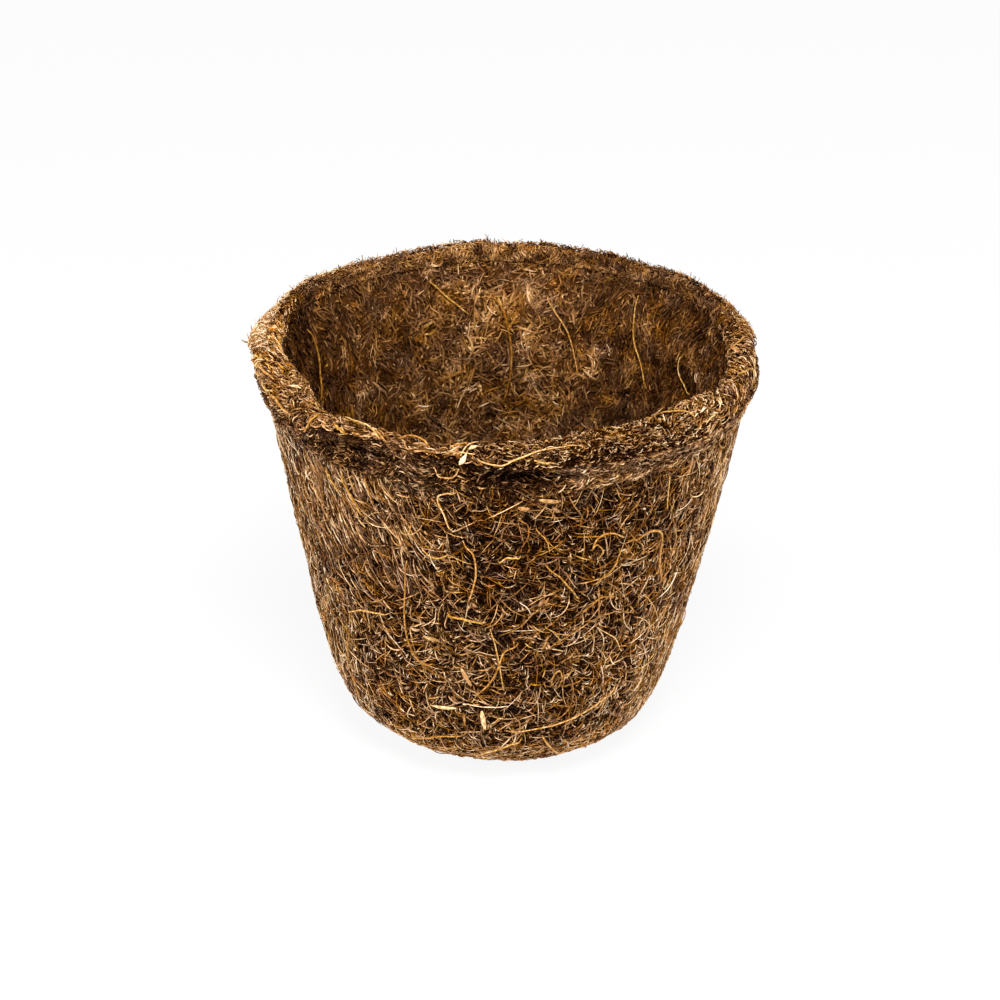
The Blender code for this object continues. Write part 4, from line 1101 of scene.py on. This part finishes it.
def make_core(outer, inner):
    """The closed body of the cup under the fibres, uneven as pressed felt is."""
    wall_rows, crease_rows, inner_rows = CORE_ROWS
    alongs = np.concatenate([np.linspace(CORE_MARGIN, WALL_END, wall_rows, endpoint=False),
                             np.linspace(WALL_END, LIP_START, crease_rows, endpoint=False),
                             np.linspace(LIP_START, SECTION_END - CORE_MARGIN, inner_rows)])
    column = np.arange(CORE_COLUMNS)
    az, al = np.meshgrid(column * math.tau / CORE_COLUMNS, alongs)
    sink = CORE_SINK + (CREASE_SINK - CORE_SINK) * in_crease(al)
    sink = sink + (INNER_SINK - CORE_SINK) * ease(al, LIP_END, LIP_END + INNER_EASE)
    stand = felt_rise(az, al) - sink
    for depth, seed, wavelength in CORE_LUMPS:
        stand = stand + depth * lumps(az, al, seed, wavelength)
    points, _ = place(az, al, stand)
    poles = [[0.0, 0.0, CORE_SINK], [0.0, 0.0, FLOOR_THICKNESS - INNER_SINK]]
    verts = np.concatenate([points.reshape(-1, 3), poles])
    low_pole = np.full(CORE_COLUMNS, len(verts) - 2)
    high_pole = low_pole + 1
    beside = (column + 1) % CORE_COLUMNS
    row = np.arange(len(alongs) - 1)[:, None] * CORE_COLUMNS
    above = row + CORE_COLUMNS
    top = row[-1] + CORE_COLUMNS
    quads = np.stack([row + column, row + beside, above + beside, above + column], -1)
    low = np.stack([low_pole, beside, column], -1)
    high = np.stack([high_pole, top + column, top + beside], -1)
    loops = np.concatenate([quads.ravel(), low.ravel(), high.ravel()])
    sizes = np.concatenate([np.full(quads.size // 4, 4), np.full(2 * CORE_COLUMNS, 3)])
    piece = write_mesh("felt_core", verts, loops, sizes)
    piece.data.materials.append(outer)
    piece.data.materials.append(inner)
    inside = np.repeat(alongs[:-1] > LIP_END, CORE_COLUMNS)
    which = np.concatenate([inside, np.zeros(CORE_COLUMNS, bool), np.ones(CORE_COLUMNS, bool)])
    piece.data.polygons.foreach_set("material_index", which.astype(np.int32))
    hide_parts("felt_shell")
    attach(piece, "root")


# Stage, in metres

CAMERA_ELEVATION_DEG = 27.95
CAMERA_DISTANCE = 0.450
CAMERA_TARGET = (-0.00052, 0.0, 0.03174)
CAMERA_LENS = 122.96
SENSOR_WIDTH = 36.0
WHITE = (1.0, 1.0, 1.0, 1.0)
FLOOR_COLOUR = (0.9, 0.9, 0.9, 1.0)
FLOOR_SIZE = 4.0
FLOOR_LEVEL = -0.0003
FLOOR_GLOW_SHARE = 0.9
WORLD_LIGHT = 0.16

# Lamps as (name, azimuth and elevation in degrees, distance, size, power)
LAMPS = (("front_top", 5.0, 56.0, 0.7, 0.22, 4.6),
         ("left_side", -62.0, 28.0, 0.7, 0.25, 3.0),
         ("right_side", 72.0, 28.0, 0.75, 0.28, 2.6))


def put(name, data, location, rotation):
    placed = bpy.data.objects.new(name, data)
    bpy.context.collection.objects.link(placed)
    placed.location = location
    placed.rotation_euler = rotation
    return placed


def make_camera():
    data = bpy.data.cameras.new("camera")
    data.lens = CAMERA_LENS
    data.sensor_width = SENSOR_WIDTH
    angle = math.radians(CAMERA_ELEVATION_DEG)
    x, y, z = CAMERA_TARGET
    place_at = (x, y - CAMERA_DISTANCE * math.cos(angle), z + CAMERA_DISTANCE * math.sin(angle))
    bpy.context.scene.camera = put("camera", data, place_at, (math.pi / 2 - angle, 0.0, 0.0))


def area_light(name, azimuth_deg, elevation_deg, distance, size, power):
    """A soft disc lamp that looks at the middle of the floor."""
    data = bpy.data.lights.new(name, "AREA")
    data.shape = "DISK"
    data.size = size
    data.energy = power
    azimuth = math.radians(azimuth_deg)
    elevation = math.radians(elevation_deg)
    out = (math.sin(azimuth) * math.cos(elevation), -math.cos(azimuth) * math.cos(elevation),
           math.sin(elevation))
    put(name, data, tuple(distance * c for c in out), (math.pi / 2 - elevation, 0.0, azimuth))


def seen_directly(nodes):
    """1 for rays that show the background as it is, 0 for rays that carry its light."""
    rays = add_node(nodes, "LightPath", {}).outputs
    seen = rays["Is Camera Ray"]
    for kind in ("Is Glossy Ray", "Is Transmission Ray"):
        seen = add_node(nodes, "Math", {0: seen, 1: rays[kind]}, operation="MAXIMUM").outputs["Value"]
    return seen


def make_floor():
    """A white floor that keeps the pot's shadow."""
    bpy.ops.mesh.primitive_plane_add(size=FLOOR_SIZE, location=(0.0, 0.0, FLOOR_LEVEL))
    floor = bpy.context.object
    floor.name = "floor"
    material, nodes, shader = new_material("floor_white")
    feed(shader, {"Base Color": FLOOR_COLOUR, "Roughness": 0.9, "Specular IOR Level": 0.0})
    glow = add_node(nodes, "Emission", {"Color": WHITE, "Strength": 1.0})
    mix = add_node(nodes, "MixShader", {
        "Fac": remap(nodes, seen_directly(nodes), 0.0, FLOOR_GLOW_SHARE),
        1: shader.outputs["BSDF"],
        2: glow.outputs["Emission"]})
    feed(nodes["Material Output"], {"Surface": mix.outputs["Shader"]})
    floor.data.materials.append(material)


def make_world():
    world = bpy.data.worlds.new("studio")
    bpy.context.scene.world = world
    world.use_nodes = True
    nodes = world.node_tree.nodes
    feed(nodes["Background"], {
        "Color": WHITE,
        "Strength": remap(nodes, seen_directly(nodes), WORLD_LIGHT, 1.0)})


# Fibre materials as (roughness, sheen level, saturation, hue, fleck)
FIBRE_LOOKS = {"fibre_wall": (0.5, 0.28, 0.96, 0.4963, 0.16),
               "fibre_grey": (0.45, 0.4, 0.92, 0.497, 0.16),
               "fibre_golden": (0.5, 0.28, 1.14, 0.492, 0.16),
               "fibre_bright": (0.5, 0.2, 1.3, 0.490, 0.16),
               "fibre_base": (0.5, 0.28, 1.28, 0.487, 0.16),
               "fibre_rim": (0.5, 0.28, 1.04, 0.494, 0.16),
               "fibre_inside": (0.7, 0.1, 1.0, 0.4972, 0.08),
               "strand": (0.45, 0.3, 1.12, 0.5, 0.16),
               "husk": (0.6, 0.2, 1.0, 0.5, 0.16)}


def main():
    make_core(core_material("felt_outside", OUTER_FELT_WITH_GAP_SHADE), core_material("felt_inside", INNER_FELT))
    wall, grey, golden, bright, base, rim, inside, strand, husk = (
        fibre_material(name, *look) for name, look in FIBRE_LOOKS.items())
    lay_wall(wall, grey, golden)
    lay_crease(wall)
    lay_base(base)
    lay_lip(rim, bright)
    lay_inside(inside)
    lay_named_pieces({"pale": strand, "golden": strand, "brown": strand,
                      "husk_pale": husk, "husk_brown": husk})
    lay_hairs(strand)
    make_camera()
    make_floor()
    make_world()
    for lamp in LAMPS:
        area_light(*lamp)
    bpy.context.scene.view_settings.view_transform = "Standard"


main()
